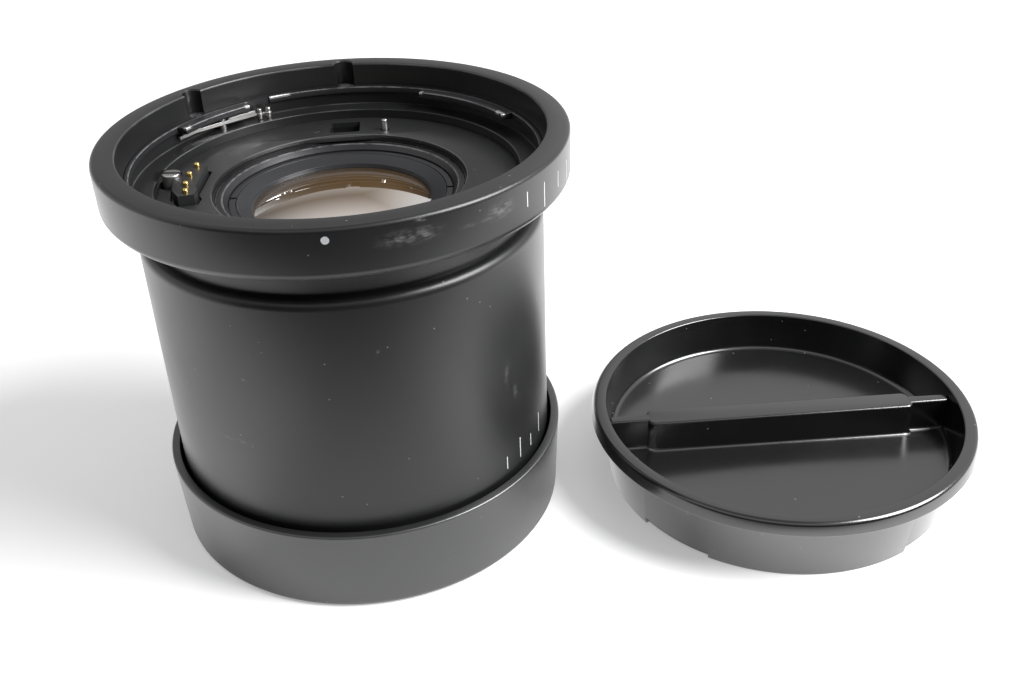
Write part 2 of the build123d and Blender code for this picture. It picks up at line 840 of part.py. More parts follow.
def front_cell():
    bore_foot = front_ledge_foot
    inner_rim = cell_pocket_radius + cell_rim_slope
    return turned(
        (doublet_radius + glass_fit, front_cell_foot), (cell_tube_radius, front_cell_foot),
        (cell_tube_radius, cell_ledge), (cell_radius, cell_ledge), (cell_radius, cell_top),
        (inner_rim, cell_top), (cell_pocket_radius, cell_top - cell_rim_slope),
        (cell_pocket_radius, bezel_foot), (front_lens_radius + glass_fit, bezel_foot),
        (front_lens_radius + glass_fit, front_lens_foot),
        (front_lens_ledge_bore, front_lens_foot), (front_lens_ledge_bore, bore_foot),
        (doublet_radius + glass_fit, bore_foot))


def front_retainer():
    radius, foot = cell_pocket_radius - retainer_gap, retainer_top - retainer_height
    body = ring(radius, retainer_bore, foot, retainer_top)
    slot = box(2 * retainer_width + overrun, retainer_slot_width, retainer_top - retainer_slot_depth,
               retainer_top)
    for angle in front_slot_angles:
        body -= at(cell_pocket_radius, angle) * slot
    return body


def front_bezel():
    flange_top = retainer_top - retainer_height
    return turned(
        (bezel_bore, bezel_foot), (cell_pocket_radius - retainer_gap, bezel_foot),
        (cell_pocket_radius - retainer_gap, flange_top), (bezel_rim, flange_top), (bezel_rim, bezel_top),
        (bezel_mouth, bezel_top), (bezel_bore, bezel_top - bezel_slope))


def cell_nut():
    foot = bulkhead_under - cell_nut_height
    body = ring(cell_nut_radius, cell_tube_radius + running_fit, foot, bulkhead_under)
    slot = box(2 * nut_slot_depth, nut_slot_width, foot, bulkhead_under)
    for number in range(nut_slot_count):
        body -= at(cell_nut_radius, nut_slot_angle + 360 / nut_slot_count * number) * slot
    return body


def front_spacer():
    return ring(doublet_radius, doublet_radius - spacer_wall, crown_top, front_ledge_foot)


def rear_cell():
    seat_top = small_seat + rear_cell_seat_height
    collar_foot = front_cell_foot - rear_cell_collar_height
    return turned(
        (small_glass_radius + glass_fit, rear_cell_foot), (rear_cell_tube, rear_cell_foot),
        (rear_cell_tube, collar_foot), (rear_cell_collar, collar_foot), (rear_cell_collar, front_cell_foot),
        (rear_cell_radius, front_cell_foot), (rear_cell_radius, flint_foot), (rear_cell_bore, flint_foot),
        (rear_cell_bore, seat_top), (rear_cell_seat_bore, seat_top), (rear_cell_seat_bore, small_seat),
        (small_glass_radius + glass_fit, small_seat))


def rear_spacer():
    return ring(small_glass_radius, small_glass_radius - spacer_wall, rear_lens_top, relay_foot)


def rear_retainer():
    foot = rear_lens_foot - rear_retainer_height
    body = ring(small_glass_radius, small_glass_radius - rear_retainer_wall, foot, rear_lens_foot)
    for angle in rear_slot_angles:
        slot = box(2 * rear_retainer_wall + overrun, retainer_slot_width, foot, foot + retainer_slot_depth)
        body -= at(small_glass_radius, angle) * slot
    return body


# Rear bayonet and baffle

def rear_screw_places():
    return [at(rear_screw_circle, angle) for angle in rear_screw_angles]


def rear_bayonet():
    body = ring(rear_ring_radius, throat_bore, rear_seat, barrel_foot)
    body += ring(throat_radius, throat_bore, throat_foot, rear_seat)
    lug_top = rear_seat - male_lug_gap
    for angle, width in zip(lug_angles, lug_widths):
        body += sector(male_lug_radius, throat_radius - throat_wall / 2, lug_top - male_lug_height, lug_top,
                       angle, width)
    body -= at(male_lug_radius + lock_notch_radius / 2, lock_notch_angle) * post(
        lock_notch_radius, lug_top - male_lug_height, lug_top)
    for spot in rear_screw_places():
        body -= spot * post(rear_screw_head, rear_seat, rear_seat + screw_head_height)
        body -= spot * post(screw_radius, rear_seat, barrel_foot)
    return body


def rear_screws():
    screw = slotted_screw(rear_screw_head, -screw_head_height, 0, -rear_screw_length)
    return many(spot * Pos(0, 0, rear_seat) * Rot(180, 0, 0) * screw for spot in rear_screw_places())


def rear_baffle():
    body = turned(
        (baffle_opening, baffle_foot), (baffle_radius, baffle_foot), (baffle_radius, barrel_foot),
        (baffle_radius - baffle_wall, barrel_foot), (baffle_radius - baffle_wall, baffle_top),
        (baffle_step_radius, baffle_top), (baffle_step_radius, baffle_top + baffle_step_height),
        (baffle_opening, baffle_top + baffle_step_height))
    body -= rear_block(loose_fit, baffle_foot, baffle_top)
    body -= at(shaft_circle, shaft_angle) * post(shaft_radius + loose_fit, baffle_foot, baffle_top)
    return body - at(rod_circle, rod_angle) * post(rod_radius + loose_fit, baffle_foot, baffle_top)


# Caps

def rear_cap():
    body = turned(
        (0, 0), (cap_foot_radius, 0), (cap_radius, cap_rim_height), (cap_bore, cap_rim_height),
        (cap_inner_foot, cap_base), (0, cap_base))
    body -= ring(cap_groove_radius, cap_groove_radius - cap_groove_width, 0, cap_groove_depth)
    body = fillet(rims(body, cap_foot_radius, 0), cap_foot_round)
    body = fillet(rims(body, cap_radius, cap_rim_height), cap_rim_round)
    body = fillet(rims(body, cap_inner_foot, cap_base), cap_floor_fillet)
    for angle, width in zip(lug_angles, lug_widths):
        body += sector(cap_inner_foot + air_gap, cap_lug_tip, cap_lug_top - cap_lug_height, cap_lug_top,
                       angle, width)
    return body


def flare(width, length):
    """The concave foot of a bar, along X, that spreads its sides onto the floor of the dish."""
    side, reach = width / 2, width / 2 + bar_foot_fillet
    bend = bar_foot_fillet * (1 - cos(radians(45)))
    outline = [Line((0, 0), (reach, 0)),
               ThreePointArc((reach, 0), (side + bend, bend), (side, bar_foot_fillet)),
               Line((side, bar_foot_fillet), (0, bar_foot_fillet)), Line((0, bar_foot_fillet), (0, 0))]
    half = extrude(Plane.YZ * make_face(outline), amount=length / 2, both=True)
    return Pos(0, 0, dish_floor) * (half + mirror(half, about=Plane.XZ))


def bar_handle():
    """The grip across the dish: a bar with rounded corners, and a rib from each end to the wall."""
    foot, top = dish_floor - dish_floor_thickness, dish_height - bar_drop
    outline = RectangleRounded(bar_length, bar_width, bar_corner) + Rectangle(2 * dish_mouth, rib_width)
    bar = Pos(0, 0, foot) * extrude(outline, amount=top - foot)
    bar = fillet(bar.faces().sort_by(Axis.Z)[-1].edges(), bar_round)
    return bar + flare(bar_width, bar_length - 2 * bar_corner) + flare(rib_width, 2 * dish_mouth)


def dish_inside():
    return turned((0, 0), (dish_floor_radius, 0), (dish_floor_radius, dish_floor), (dish_mouth, dish_height),
                  (0, dish_height))


def front_cap():
    rim_foot = dish_height - dish_rim_height
    floor_foot = dish_floor - dish_floor_thickness
    body = turned(
        (0, floor_foot), (dish_skirt_foot - dish_skirt_wall, floor_foot),
        (dish_skirt_foot - dish_skirt_wall, 0), (dish_skirt_foot, 0),
        (dish_skirt_radius, rim_foot), (dish_radius, rim_foot), (dish_radius, dish_height),
        (dish_mouth, dish_height), (dish_floor_radius, dish_floor), (0, dish_floor))
    body = fillet(rims(body, dish_radius, dish_height), dish_rim_round)
    body = fillet(rims(body, dish_floor_radius, dish_floor), dish_fillet)
    body += Rot(0, 0, bar_angle) * (bar_handle() & dish_inside())
    core_top = dish_height - bar_drop - bar_wall
    core = box(bar_length - 2 * bar_wall, bar_width - 2 * bar_wall, 0, core_top)
    body -= Rot(0, 0, bar_angle) * core
    recess_floor = dish_skirt_foot - dish_recess_depth
    for number in range(dish_recess_count):
        body -= sector(dish_skirt_radius + overrun, recess_floor, 0, dish_recess_height,
                       dish_recess_angle + 360 / dish_recess_count * number, dish_recess_width)
    return Pos(dish_x, dish_shift, 0) * body


# Every node

save("front_collar", front_collar())
save("front_bayonet", front_bayonet())
save("bayonet_screws", bayonet_screws())
save("mount_plate", mount_plate())
save("plate_screws", plate_screws())
save("contact_block", contact_block())
save("contact_board", contact_board())
for number, spot in enumerate(pin_places(), 1):
    save(f"contact_pin_{number}", contact_pin(spot))
    save(f"pin_spring_{number}", pin_spring(spot))
save("contact_flex", contact_flex())
save("rear_contacts", rear_contacts())
save("contact_pads", contact_pads())
save("drive_shaft", drive_shaft())
save("shaft_bush", shaft_bush())
save("push_rod", push_rod())
save("rod_spring", rod_spring())
save("lock_lever", lock_lever())
save("lever_rollers", lever_rollers())
save("lever_pivot", lever_pivot())
save("release_button", release_button())
save("barrel_shell", barrel_shell())
save("front_cell", front_cell())
save("front_retainer", front_retainer())
save("front_bezel", front_bezel())
save("cell_nut", cell_nut())
save("front_lens", front_lens())
save("front_spacer", front_spacer())
save("doublet_crown", doublet_crown())
save("doublet_flint", doublet_flint())
save("rear_cell", rear_cell())
save("relay_lens", relay_lens())
save("rear_spacer", rear_spacer())
save("rear_lens", rear_lens())
save("rear_retainer", rear_retainer())
save("rear_bayonet", rear_bayonet())
save("rear_screws", rear_screws())
save("rear_baffle", rear_baffle())
save("rear_cap", rear_cap())
save("front_cap", front_cap())
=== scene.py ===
import bmesh
import bpy
import json
from functools import reduce
from math import asin, cos, degrees, pi, radians, sin, sqrt, tau
from mathutils import Matrix, Vector


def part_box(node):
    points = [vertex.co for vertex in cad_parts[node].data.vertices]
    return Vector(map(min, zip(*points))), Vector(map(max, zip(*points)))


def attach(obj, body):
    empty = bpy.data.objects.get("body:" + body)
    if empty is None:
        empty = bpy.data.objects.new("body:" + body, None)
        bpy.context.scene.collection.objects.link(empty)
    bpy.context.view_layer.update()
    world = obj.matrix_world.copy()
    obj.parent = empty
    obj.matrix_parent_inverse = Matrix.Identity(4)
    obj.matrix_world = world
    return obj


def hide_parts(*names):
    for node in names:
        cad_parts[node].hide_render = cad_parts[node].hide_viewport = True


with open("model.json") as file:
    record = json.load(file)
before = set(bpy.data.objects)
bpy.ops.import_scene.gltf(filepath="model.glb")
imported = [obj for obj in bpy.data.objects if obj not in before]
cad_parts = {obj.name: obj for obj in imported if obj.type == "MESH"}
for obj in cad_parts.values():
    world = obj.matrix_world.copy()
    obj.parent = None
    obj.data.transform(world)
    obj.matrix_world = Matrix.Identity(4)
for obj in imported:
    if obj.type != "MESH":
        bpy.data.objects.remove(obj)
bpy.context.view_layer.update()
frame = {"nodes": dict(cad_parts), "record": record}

# A camera teleconverter on its rear cap, with its front cap beside it. The meshes are
# made in millimetres about the optical axis, Z, and scaled to metres when they are done.
# Angles run from +X towards +Y, in degrees, and the widths of lugs, notch and recesses are
# in degrees too. A lug is (angle, width), a slot (width, depth), a lever's point (circle, angle).
MM = 0.001
TINY = 0.001

# How finely round shapes are divided: arcs of more than FINE_RADIUS get more steps
ROUND_STEPS = 288
SMALL_STEPS = 64
PIN_STEPS = 32
SECTOR_STEPS = 24
DOME_STEPS = 40
CORNER_SEGMENTS = 6
ARC_STEP = 5.0
FINE_RADIUS = 36.0
SMOOTH_ANGLE = 32.0

# Gaps of fitted and of sliding pieces, the length that a cutter stands out of what it
# cuts, and the round on the cutter's own edges
FIT = 0.05
SLIDE = 0.03
OVERCUT = 1.0
CUTTER_EDGE = 0.01


def low(node, axis):
    """The least x, y or z of a node, in millimetres."""
    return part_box(node)[0][axis] / MM


def high(node, axis):
    """The greatest x, y or z of a node, in millimetres."""
    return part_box(node)[1][axis] / MM


# Front collar
collar_radius = high("front_collar", 0)
collar_top = high("front_collar", 2)
shoulder = low("front_collar", 2)
collar_bore = collar_radius - 4.6
collar_wall_foot = collar_top - 8.6
collar_foot = collar_wall_foot - 1.1
collar_foot_width = 0.8
collar_foot_round = 0.3
collar_lip = collar_foot - 1.3
collar_round = 0.9
collar_edge_round = 0.4
lip_round = 1.2
ledge_round = 0.12

# Bayonet ring and its screws
front_seat = high("front_bayonet", 2)
bayonet_under = low("front_bayonet", 2)
bayonet_radius = high("front_bayonet", 0)
register_radius = bayonet_radius + FIT
bayonet_edge = 0.22
lugs = ((39.3, 38.5), (131.6, 26.5), (219.7, 37.5), (309.7, 37.5))
lug_tip = 37.4
gap_radius = 39.8
notch_angle = 113.6
notch_width = 7.6
notch_depth = 0.4
screw_circle = 41.6
screw_angles = (85.0, 134.5, 265.0, 314.5)
screw_turns = (20, 75, 140, 5)
screw_head = 1.35
screw_head_foot = front_seat - 0.8
screw_hole = screw_head + 0.02
screw_edge = 0.2
screw_slot = (0.42, 0.35)
ear_radius = 2.0
scallop_radius = 2.15
scallop_chamfer = 0.28
near_side_start = 180.0
pocket_top = front_seat + 1.4

# Hub, track and mount plate
spigot_top = low("mount_plate", 2)
plate_top = high("mount_plate", 2)
plate_radius = high("mount_plate", 0)
well_radius = plate_radius + FIT
track_floor = plate_top + 1.9
track_radius = well_radius + 4.3
hub_bore = well_radius + 1.0
hub_radius = hub_bore + 1.2
plate_opening = 25.3
plate_flat = 24.0
plate_flat_angle = 86.0
plate_edge = 0.14
window_circle = 30.0
window_angle = 85.5
window_width = 6.6
window_height = 6.0
window_corner = 0.5
window_floor = spigot_top - 3.0
plate_screw_circle = 29.1
plate_screw_angles = (97.5, 225.0, 315.0)
plate_screw_hole = 0.75
plate_screw_top = plate_top - 0.1
plate_screw_edge = 0.12
plate_screw_slot = (0.3, 0.3)
plate_screw_turn = 40

# Contacts, drive shaft and push rod
block_circle = 29.9
block_angle = 172.7
block_half_length = 8.9
block_half_width = 2.85
block_top = high("contact_block", 2)
block_edge = 0.15
block_gap = 0.15
board_top = low("contact_block", 2)
pocket_margin = 0.7
pin_angles = (161.3, 170.3, 179.6, 186.7)
pin_radius = 0.6
pin_round = 0.45
pin_top = high("contact_pin_1", 2)
pin_foot = block_top - 2.0
pin_hole_foot = board_top + 1.0
shaft_circle = 33.7
shaft_angle = 169.5
shaft_head = 1.9
shaft_head_edge = 0.2
shaft_neck = 1.4
shaft_top = high("drive_shaft", 2)
shaft_head_foot = shaft_top - 5.0
shaft_foot = low("drive_shaft", 2)
shaft_slot = (1.1, 1.6)
shaft_bore = shaft_head + 0.1
shaft_block_bore = shaft_head + 0.3
shaft_hole = 3.0
shaft_hole_floor = spigot_top - 1.9
shaft_wall_recess = 3.8
shaft_recess_foot = plate_top + 0.5
rod_circle = 28.5
rod_angle = 67.3
rod_radius = 0.6
rod_round = 0.25
rod_hole = 1.0
rod_top = high("push_rod", 2)
rod_foot = low("push_rod", 2)

# Lock lever
lever_foot = low("lock_lever", 2)
lever_top = lever_foot + 0.8
lever_edge = 0.1
lever_head = (38.95, 125.3)
lever_head_width = 1.9
lever_bend = (39.7, 138.5)
lever_tail = (39.7, 145.0)
tail_width = 0.6
neck_start = (38.3, 126.2)
neck_end = (38.3, 116.3)
neck_top = high("lock_lever", 2)
neck_width = 0.5
neck_edge = 0.08
nose_centre = (38.1, 113.3)
nose_top = lever_foot + 0.4
nose_margin = 0.2
nose_edge = 0.06
pivot_centre = (39.0, 128.0)
pivot_head = 0.8
pivot_top = lever_top + 0.45
pivot_edge = 0.1
roller_radius = 0.55
roller_round = 0.15
roller_foot = low("lever_rollers", 2)
roller_top = high("lever_rollers", 2)
roller_spacing = 2.0

# Release button
button_width = 9.0
button_height = 4.4
button_corner = 1.4
button_level = (low("release_button", 2) + high("release_button", 2)) / 2
button_angle = 145.0
button_tip = collar_radius + 0.9
button_back = button_tip - 3.0
button_edge = 0.4
button_gap = 0.1
button_floor = collar_radius - 3.1
button_recess_edge = 0.02

# Barrel
barrel_radius = high("barrel_shell", 0)
barrel_foot = low("barrel_shell", 2)
barrel_foot_round = 0.3
barrel_bore = barrel_radius - 2.1
shoulder_round = 2.0
spigot_radius = hub_bore - SLIDE
flange_bore = 26.0
flange_top = barrel_foot + 3.0
cell_bore = 24.9
bulkhead_under = spigot_top - 6.1
cell_ledge = bulkhead_under + 2.0

# Front cell, rings and glass
cell_radius = high("front_cell", 0)
cell_top = high("front_cell", 2)
cell_foot = low("front_cell", 2)
cell_pocket = 22.5
cell_slope = 1.0
cell_rim_round = 0.15
cell_mouth_round = 0.1
bulkhead_bore = cell_pocket + 0.1
retainer_radius = high("front_retainer", 0)
retainer_foot = low("front_retainer", 2)
retainer_top = high("front_retainer", 2)
retainer_bore = 21.1
retainer_edge = 0.15
retainer_slot_angles = (173.8, 353.8)
retainer_slot = (0.8, 0.7)
retainer_slot_length = 4.0
bezel_foot = low("front_bezel", 2)
bezel_top = high("front_bezel", 2)
bezel_rim = 21.0
bezel_rim_round = 0.05
bezel_mouth = 20.85
bezel_bore = 18.1
bezel_bore_round = 0.08
bezel_slope = 1.1
glass_radius = high("front_lens", 0)
glass_edge = bezel_foot - FIT
glass_foot = glass_edge - 5.3
glass_rise = 2.0
glass_hollow = 0.6
glass_core = 9.0
ledge_bore = 17.9
ledge_under = glass_foot - 1.0
doublet_bore = 18.85
crown_top = glass_foot - 3.2
crown_radius = 17.75
crown_rise = 1.6
crown_foot = low("doublet_crown", 2)

# Rear cap
cap_rim = high("rear_cap", 2)
cap_radius = high("rear_cap", 0)
cap_rim_round = 0.5
cap_bore = cap_radius - 1.85
cap_bore_round = 0.2
cap_foot = 42.2
cap_foot_round = 1.5
cap_inner_foot = cap_bore - 0.35
cap_inner_round = 1.0
cap_base = 2.2
cap_groove_inner = 34.5
cap_groove_outer = 37.0
cap_groove_depth = 0.4
cap_lug_tip = 37.5
cap_lug_root = cap_bore - 0.15
cap_lug_foot = 8.5
cap_lug_top = 9.7

# Front cap: its dish and skirt
dish_x = (low("front_cap", 0) + high("front_cap", 0)) / 2
dish_y = (low("front_cap", 1) + high("front_cap", 1)) / 2
dish_radius = high("front_cap", 0) - dish_x
dish_top = high("front_cap", 2)
dish_round = 0.8
dish_rim_foot = dish_top - 3.0
dish_rim_foot_round = 0.35
rim_flare = 0.35
dish_mouth = dish_radius - 3.1
dish_mouth_round = 0.3
dish_floor = 7.6
dish_floor_radius = dish_mouth - 1.2
dish_floor_under = dish_floor - 1.8
dish_fillet = 1.1
skirt_foot = 38.3
skirt_foot_round = 0.2
skirt_top = 40.0
skirt_top_round = 0.3
skirt_bore = skirt_foot - 1.8
recess_angles = [35.5 + 90 * number for number in range(4)]
recess_width = 25.0
recess_back = skirt_foot - 0.9
recess_height = 1.6

# Front cap: its bar, and the rib that runs on from the bar to the rim
bar_angle = -5.7
bar_length = 61.0
bar_width = 5.75
bar_corner = 1.8
bar_top = dish_top - 1.7
bar_round = 0.6
bar_flare = 0.9
bar_wall = 1.3
bar_core_corner = 0.6
bar_core_edge = 0.05
bar_flare_steps = 7
bar_round_steps = 4
rib_length = 2 * dish_mouth - 0.8
rib_width = 2.6
rib_corner = 0.7
rib_top = dish_top - 0.6
rib_root = 0.3

# Painted marks: lines as (angle, foot, top), and the dot
paint = 0.02
line_width = 0.27
line_steps = 4
collar_lines = ((-46.0, 80.35, 83.2), (-38.8, 78.1, 82.9), (-31.0, 79.4, 82.5), (-23.4, 76.9, 82.3))
barrel_lines = ((-48.3, 21.0, 24.0), (-41.7, 21.1, 26.1), (-35.2, 21.1, 24.1), (-28.6, 21.6, 26.4))
dot_angle = -94.5
dot_level = 83.9
dot_radius = 0.7
dot_steps = 40

# Rubbed patches: angle, height, half angle, half height and amount
collar_scuffs = (
    (-77.2, 82.6, 9.0, 1.9, 0.8),
    (-54.8, 82.3, 5.5, 2.1, 0.7),
    (-74.8, 85.1, 1.6, 0.5, 1.0),
    (-61.0, 81.7, 6.0, 0.5, 0.5),
    (-30.0, 80.5, 3.5, 2.4, 0.2))
barrel_scuffs = (
    (-129.0, 37.5, 9.0, 0.8, 0.35),
    (-47.0, 44.0, 1.6, 3.4, 0.35),
    (-43.5, 38.0, 1.5, 3.0, 0.35),
    (-122.4, 52.3, 0.9, 0.5, 0.8),
    (-85.7, 58.6, 0.7, 0.5, 0.8))

# Ledges whose edges are lightened as painted highlight, on the bayonet together with wear: radius, height
# and amount
collar_edge_highlights = (
    (track_radius, track_floor, 0.25),
    (well_radius, track_floor, 0.25),
    (collar_bore, collar_top - 0.3, 0.25))
plate_edge_highlights = ((plate_opening, plate_top, 0.25), (well_radius, plate_top, 0.25))
bayonet_edge_wear_and_highlights = ((lug_tip, front_seat, 0.2), (gap_radius, front_seat, 0.15))
cell_edge_highlights = ((cell_radius, cell_top, 0.25), (cell_pocket + cell_slope, cell_top, 0.15))

# Bare corners of the lugs: radius, height, angle and half angle
lug_corner = lug_tip + 0.3
bare_corners = (
    (lug_corner, front_seat, 144.4, 2.8),
    (lug_corner, front_seat, 118.6, 1.6),
    (lug_corner, front_seat, 58.3, 1.2),
    (lug_corner, front_seat, 21.6, 3.0),
    (gap_radius, front_seat, 106.5, 4.0))


# Mesh helpers

def polar(radius, angle):
    return (radius * cos(radians(angle)), radius * sin(radians(angle)))


def spot(circle, angle):
    return Vector((*polar(circle, angle), 0))


def linked(mesh):
    """A new object of a mesh, in the scene."""
    shape = bpy.data.objects.new("solid", mesh)
    bpy.context.scene.collection.objects.link(shape)
    return shape


def solid(bm, place=(0, 0)):
    """Closes a bmesh into an object, with its faces outwards."""
    bmesh.ops.remove_doubles(bm, verts=bm.verts, dist=TINY)
    bmesh.ops.translate(bm, verts=bm.verts, vec=(place[0], place[1], 0))
    bmesh.ops.recalc_face_normals(bm, faces=bm.faces)
    mesh = bpy.data.meshes.new("solid")
    bm.to_mesh(mesh)
    bm.free()
    return linked(mesh)


def turn(shape, angle, axis="Z"):
    shape.data.transform(Matrix.Rotation(radians(angle), 4, axis))
    return shape


def shift(shape, x, y, z=0):
    shape.data.transform(Matrix.Translation((x, y, z)))
    return shape


def outline_face(bm, outline):
    """A face in the XZ plane through corners of (radius, height) or (radius, height, round)."""
    corners = [bm.verts.new((corner[0], 0, corner[1])) for corner in outline]
    bm.faces.new(corners)
    for vert, corner in zip(corners, outline):
        if len(corner) > 2:
            bmesh.ops.bevel(bm, geom=[vert], offset=corner[2], offset_type="OFFSET",
                            segments=CORNER_SEGMENTS, profile=0.5, affect="VERTICES",
                            clamp_overlap=True, material=-1)


def lathe(outline, steps=ROUND_STEPS, place=(0, 0)):
    """A turned solid: a closed outline spun about an upright axis."""
    bm = bmesh.new()
    outline_face(bm, outline)
    bmesh.ops.delete(bm, geom=bm.faces[:], context="FACES_ONLY")
    on_axis = [edge for edge in bm.edges if max(vert.co.x for vert in edge.verts) < TINY]
    bmesh.ops.delete(bm, geom=on_axis, context="EDGES")
    bmesh.ops.spin(bm, geom=bm.verts[:] + bm.edges[:], cent=(0, 0, 0), axis=(0, 0, 1), angle=tau,
                   steps=steps, use_merge=True)
    return solid(bm, place)


def sector(inner, outer, foot, top, angle, width, steps=SECTOR_STEPS):
    """A part of a round wall between two radii, centred on an angle."""
    bm = bmesh.new()
    outline_face(bm, [(inner, foot), (outer, foot), (outer, top), (inner, top)])
    bmesh.ops.spin(bm, geom=bm.verts[:] + bm.edges[:] + bm.faces[:], cent=(0, 0, 0), axis=(0, 0, 1),
                   angle=radians(width), steps=steps)
    return turn(solid(bm), angle - width / 2)


def post(radius, foot, top, place=(0, 0), steps=SMALL_STEPS, edge=0):
    """An upright cylinder, its top edge rounded."""
    rim = (radius, top, edge) if edge else (radius, top)
    return lathe([(0, foot), (radius, foot), rim, (0, top)], steps, place)


def arc(centre, radius, start, end):
    """Points along an arc."""
    count = max(2, round(abs(end - start) / ARC_STEP * max(1, sqrt(radius / FINE_RADIUS))))
    angles = [start + (end - start) * number / count for number in range(count + 1)]
    points = [polar(radius, angle) for angle in angles]
    return [(centre[0] + x, centre[1] + y) for x, y in points]


def rounded_box(length, width, corner):
    """The outline of a box with round corners, length along X."""
    x, y = length / 2 - corner, width / 2 - corner
    points = []
    for number, centre in enumerate(((x, y), (-x, y), (-x, -y), (x, -y))):
        points += arc(centre, corner, 90 * number, 90 * number + 90)
    return points


def plate(outlines, foot, top, edge, segments=1):
    """A flat piece cut to outlines, the first outside and the rest its holes, its edges rounded."""
    curve = bpy.data.curves.new("outline", "CURVE")
    curve.dimensions = "2D"
    curve.fill_mode = "BOTH"
    curve.extrude = (top - foot) / 2 - edge
    curve.bevel_depth = edge
    curve.bevel_resolution = segments
    curve.offset = -edge
    for points in outlines:
        spline = curve.splines.new("POLY")
        spline.points.add(len(points) - 1)
        for point, (x, y) in zip(spline.points, points):
            point.co = (x, y, 0, 1)
        spline.use_cyclic_u = True
    flat = bpy.data.objects.new("outline", curve)
    bpy.context.scene.collection.objects.link(flat)
    graph = bpy.context.evaluated_depsgraph_get()
    mesh = bpy.data.meshes.new_from_object(flat.evaluated_get(graph))
    bpy.data.objects.remove(flat)
    bm = bmesh.new()
    bm.from_mesh(mesh)
    bmesh.ops.translate(bm, verts=bm.verts, vec=(0, 0, (foot + top) / 2))
    return solid(bm)


def loft(loops):
    """A solid through closed loops of as many points each."""
    bm = bmesh.new()
    rings = []
    for loop in loops:
        verts = [bm.verts.new(point) for point in loop]
        rings.append([bm.edges.new((verts[number - 1], verts[number])) for number in range(len(verts))])
    for lower, upper in zip(rings, rings[1:]):
        bmesh.ops.bridge_loops(bm, edges=lower + upper)
    for ring in (rings[0], rings[-1]):
        bmesh.ops.contextual_create(bm, geom=ring)
    return solid(bm)


def dome(radius, level, rise):
    """The half outline of a spherical face, from its edge to the axis."""
    ball = (radius ** 2 + rise ** 2) / (2 * rise)
    points = []
    for number in range(DOME_STEPS + 1):
        across = radius * (1 - number / DOME_STEPS)
        points.append((across, level + sqrt(ball ** 2 - across ** 2) - (ball - rise)))
    return points


def carve(shape, tools, operation="DIFFERENCE"):
    """Cuts tools out of a shape, or joins them to it."""
    for tool in tools:
        change = shape.modifiers.new("carve", "BOOLEAN")
        change.operation = operation
        change.solver = "MANIFOLD"
        change.object = tool
    graph = bpy.context.evaluated_depsgraph_get()
    mesh = bpy.data.meshes.new_from_object(shape.evaluated_get(graph))
    shape.modifiers.clear()
    shape.data = mesh
    for tool in tools:
        bpy.data.objects.remove(tool)
    return shape


def slot_tool(length, width, foot, top, angle, circle=0):
    """A straight cutter that points outwards at an angle."""
    bm = bmesh.new()
    bmesh.ops.create_cube(bm, size=1)
    bmesh.ops.scale(bm, vec=(length, width, top - foot), verts=bm.verts)
    bmesh.ops.translate(bm, vec=(circle, 0, (foot + top) / 2), verts=bm.verts)
    return turn(solid(bm), angle)


def slotted_head(radius, foot, top, edge, slot, place, slot_angle):
    """A round head with a slot across its top."""
    width, depth = slot
    head = post(radius, foot, top, place, edge=edge)
    tool = slot_tool(3 * radius, width, top - depth, top + OVERCUT, slot_angle)
    return carve(head, [shift(tool, *place)])


def joined(shapes):
    """One object of several separate solids."""
    bm = bmesh.new()
    for shape in shapes:
        bm.from_mesh(shape.data)
        bpy.data.objects.remove(shape)
    return solid(bm)


# Shader helpers

FADE_START = 0.6


class Value:
    """A shader value that ordinary arithmetic works on."""

    def __init__(self, nodes, socket):
        self.nodes = nodes
        self.socket = socket

    def also(self, output):
        """Another output of the same node."""
        return Value(self.nodes, self.socket.node.outputs[output])

    def math(self, operation, left, right=0.0):
        return self.nodes.node("ShaderNodeMath", {"operation": operation}, {0: left, 1: right})

    def __add__(self, other):
        return self.math("ADD", self, other)

    def __sub__(self, other):
        return self.math("SUBTRACT", self, other)

    def __rsub__(self, other):
        return self.math("SUBTRACT", other, self)

    def __mul__(self, other):
        return self.math("MULTIPLY", self, other)

    __radd__ = __add__
    __rmul__ = __mul__

    def __pow__(self, other):
        return self.math("POWER", self, other)

    def __abs__(self):
        return self.math("ABSOLUTE", self)

    def most(self, other):
        return self.math("MAXIMUM", self, other)

    def ramp(self, first, last, start=0.0, end=1.0):
        """Runs smoothly from start to end as the value goes from first to last."""
        return self.nodes.node("ShaderNodeMapRange", {"interpolation_type": "SMOOTHSTEP"}, {
            "Value": self, "From Min": first, "From Max": last, "To Min": start, "To Max": end})

    def near(self, centre, width):
        """1 close to a value, fading to 0 at a width from it."""
        return abs(self - centre).fade(width)

    def fade(self, width):
        """1 where the value is small, fading to 0 as it reaches a width."""
        return self.ramp(width * FADE_START, width, 1.0, 0.0)


class Nodes:
    """A node tree that values are worked out in."""

    def __init__(self, tree):
        self.tree = tree

    def node(self, kind, settings=None, sockets=None, output=0):
        made = self.tree.nodes.new(kind)
        for name, value in (settings or {}).items():
            setattr(made, name, value)
        for name, value in (sockets or {}).items():
            self.feed(made.inputs[name], value)
        return Value(self, made.outputs[output])

    def feed(self, socket, value):
        if isinstance(value, Value):
            self.tree.links.new(value.socket, socket)
        else:
            socket.default_value = value

    def split(self, vector):
        """The three parts of a vector."""
        x = self.node("ShaderNodeSeparateXYZ", sockets={0: vector}, output="X")
        return x, x.also("Y"), x.also("Z")

    def mix(self, amount, first, second):
        """A colour between two. The Mix node's colours are its inputs 6 and 7 and its output 2."""
        return self.node("ShaderNodeMix", {"data_type": "RGBA"}, {0: amount, 6: first, 7: second},
                         output=2)


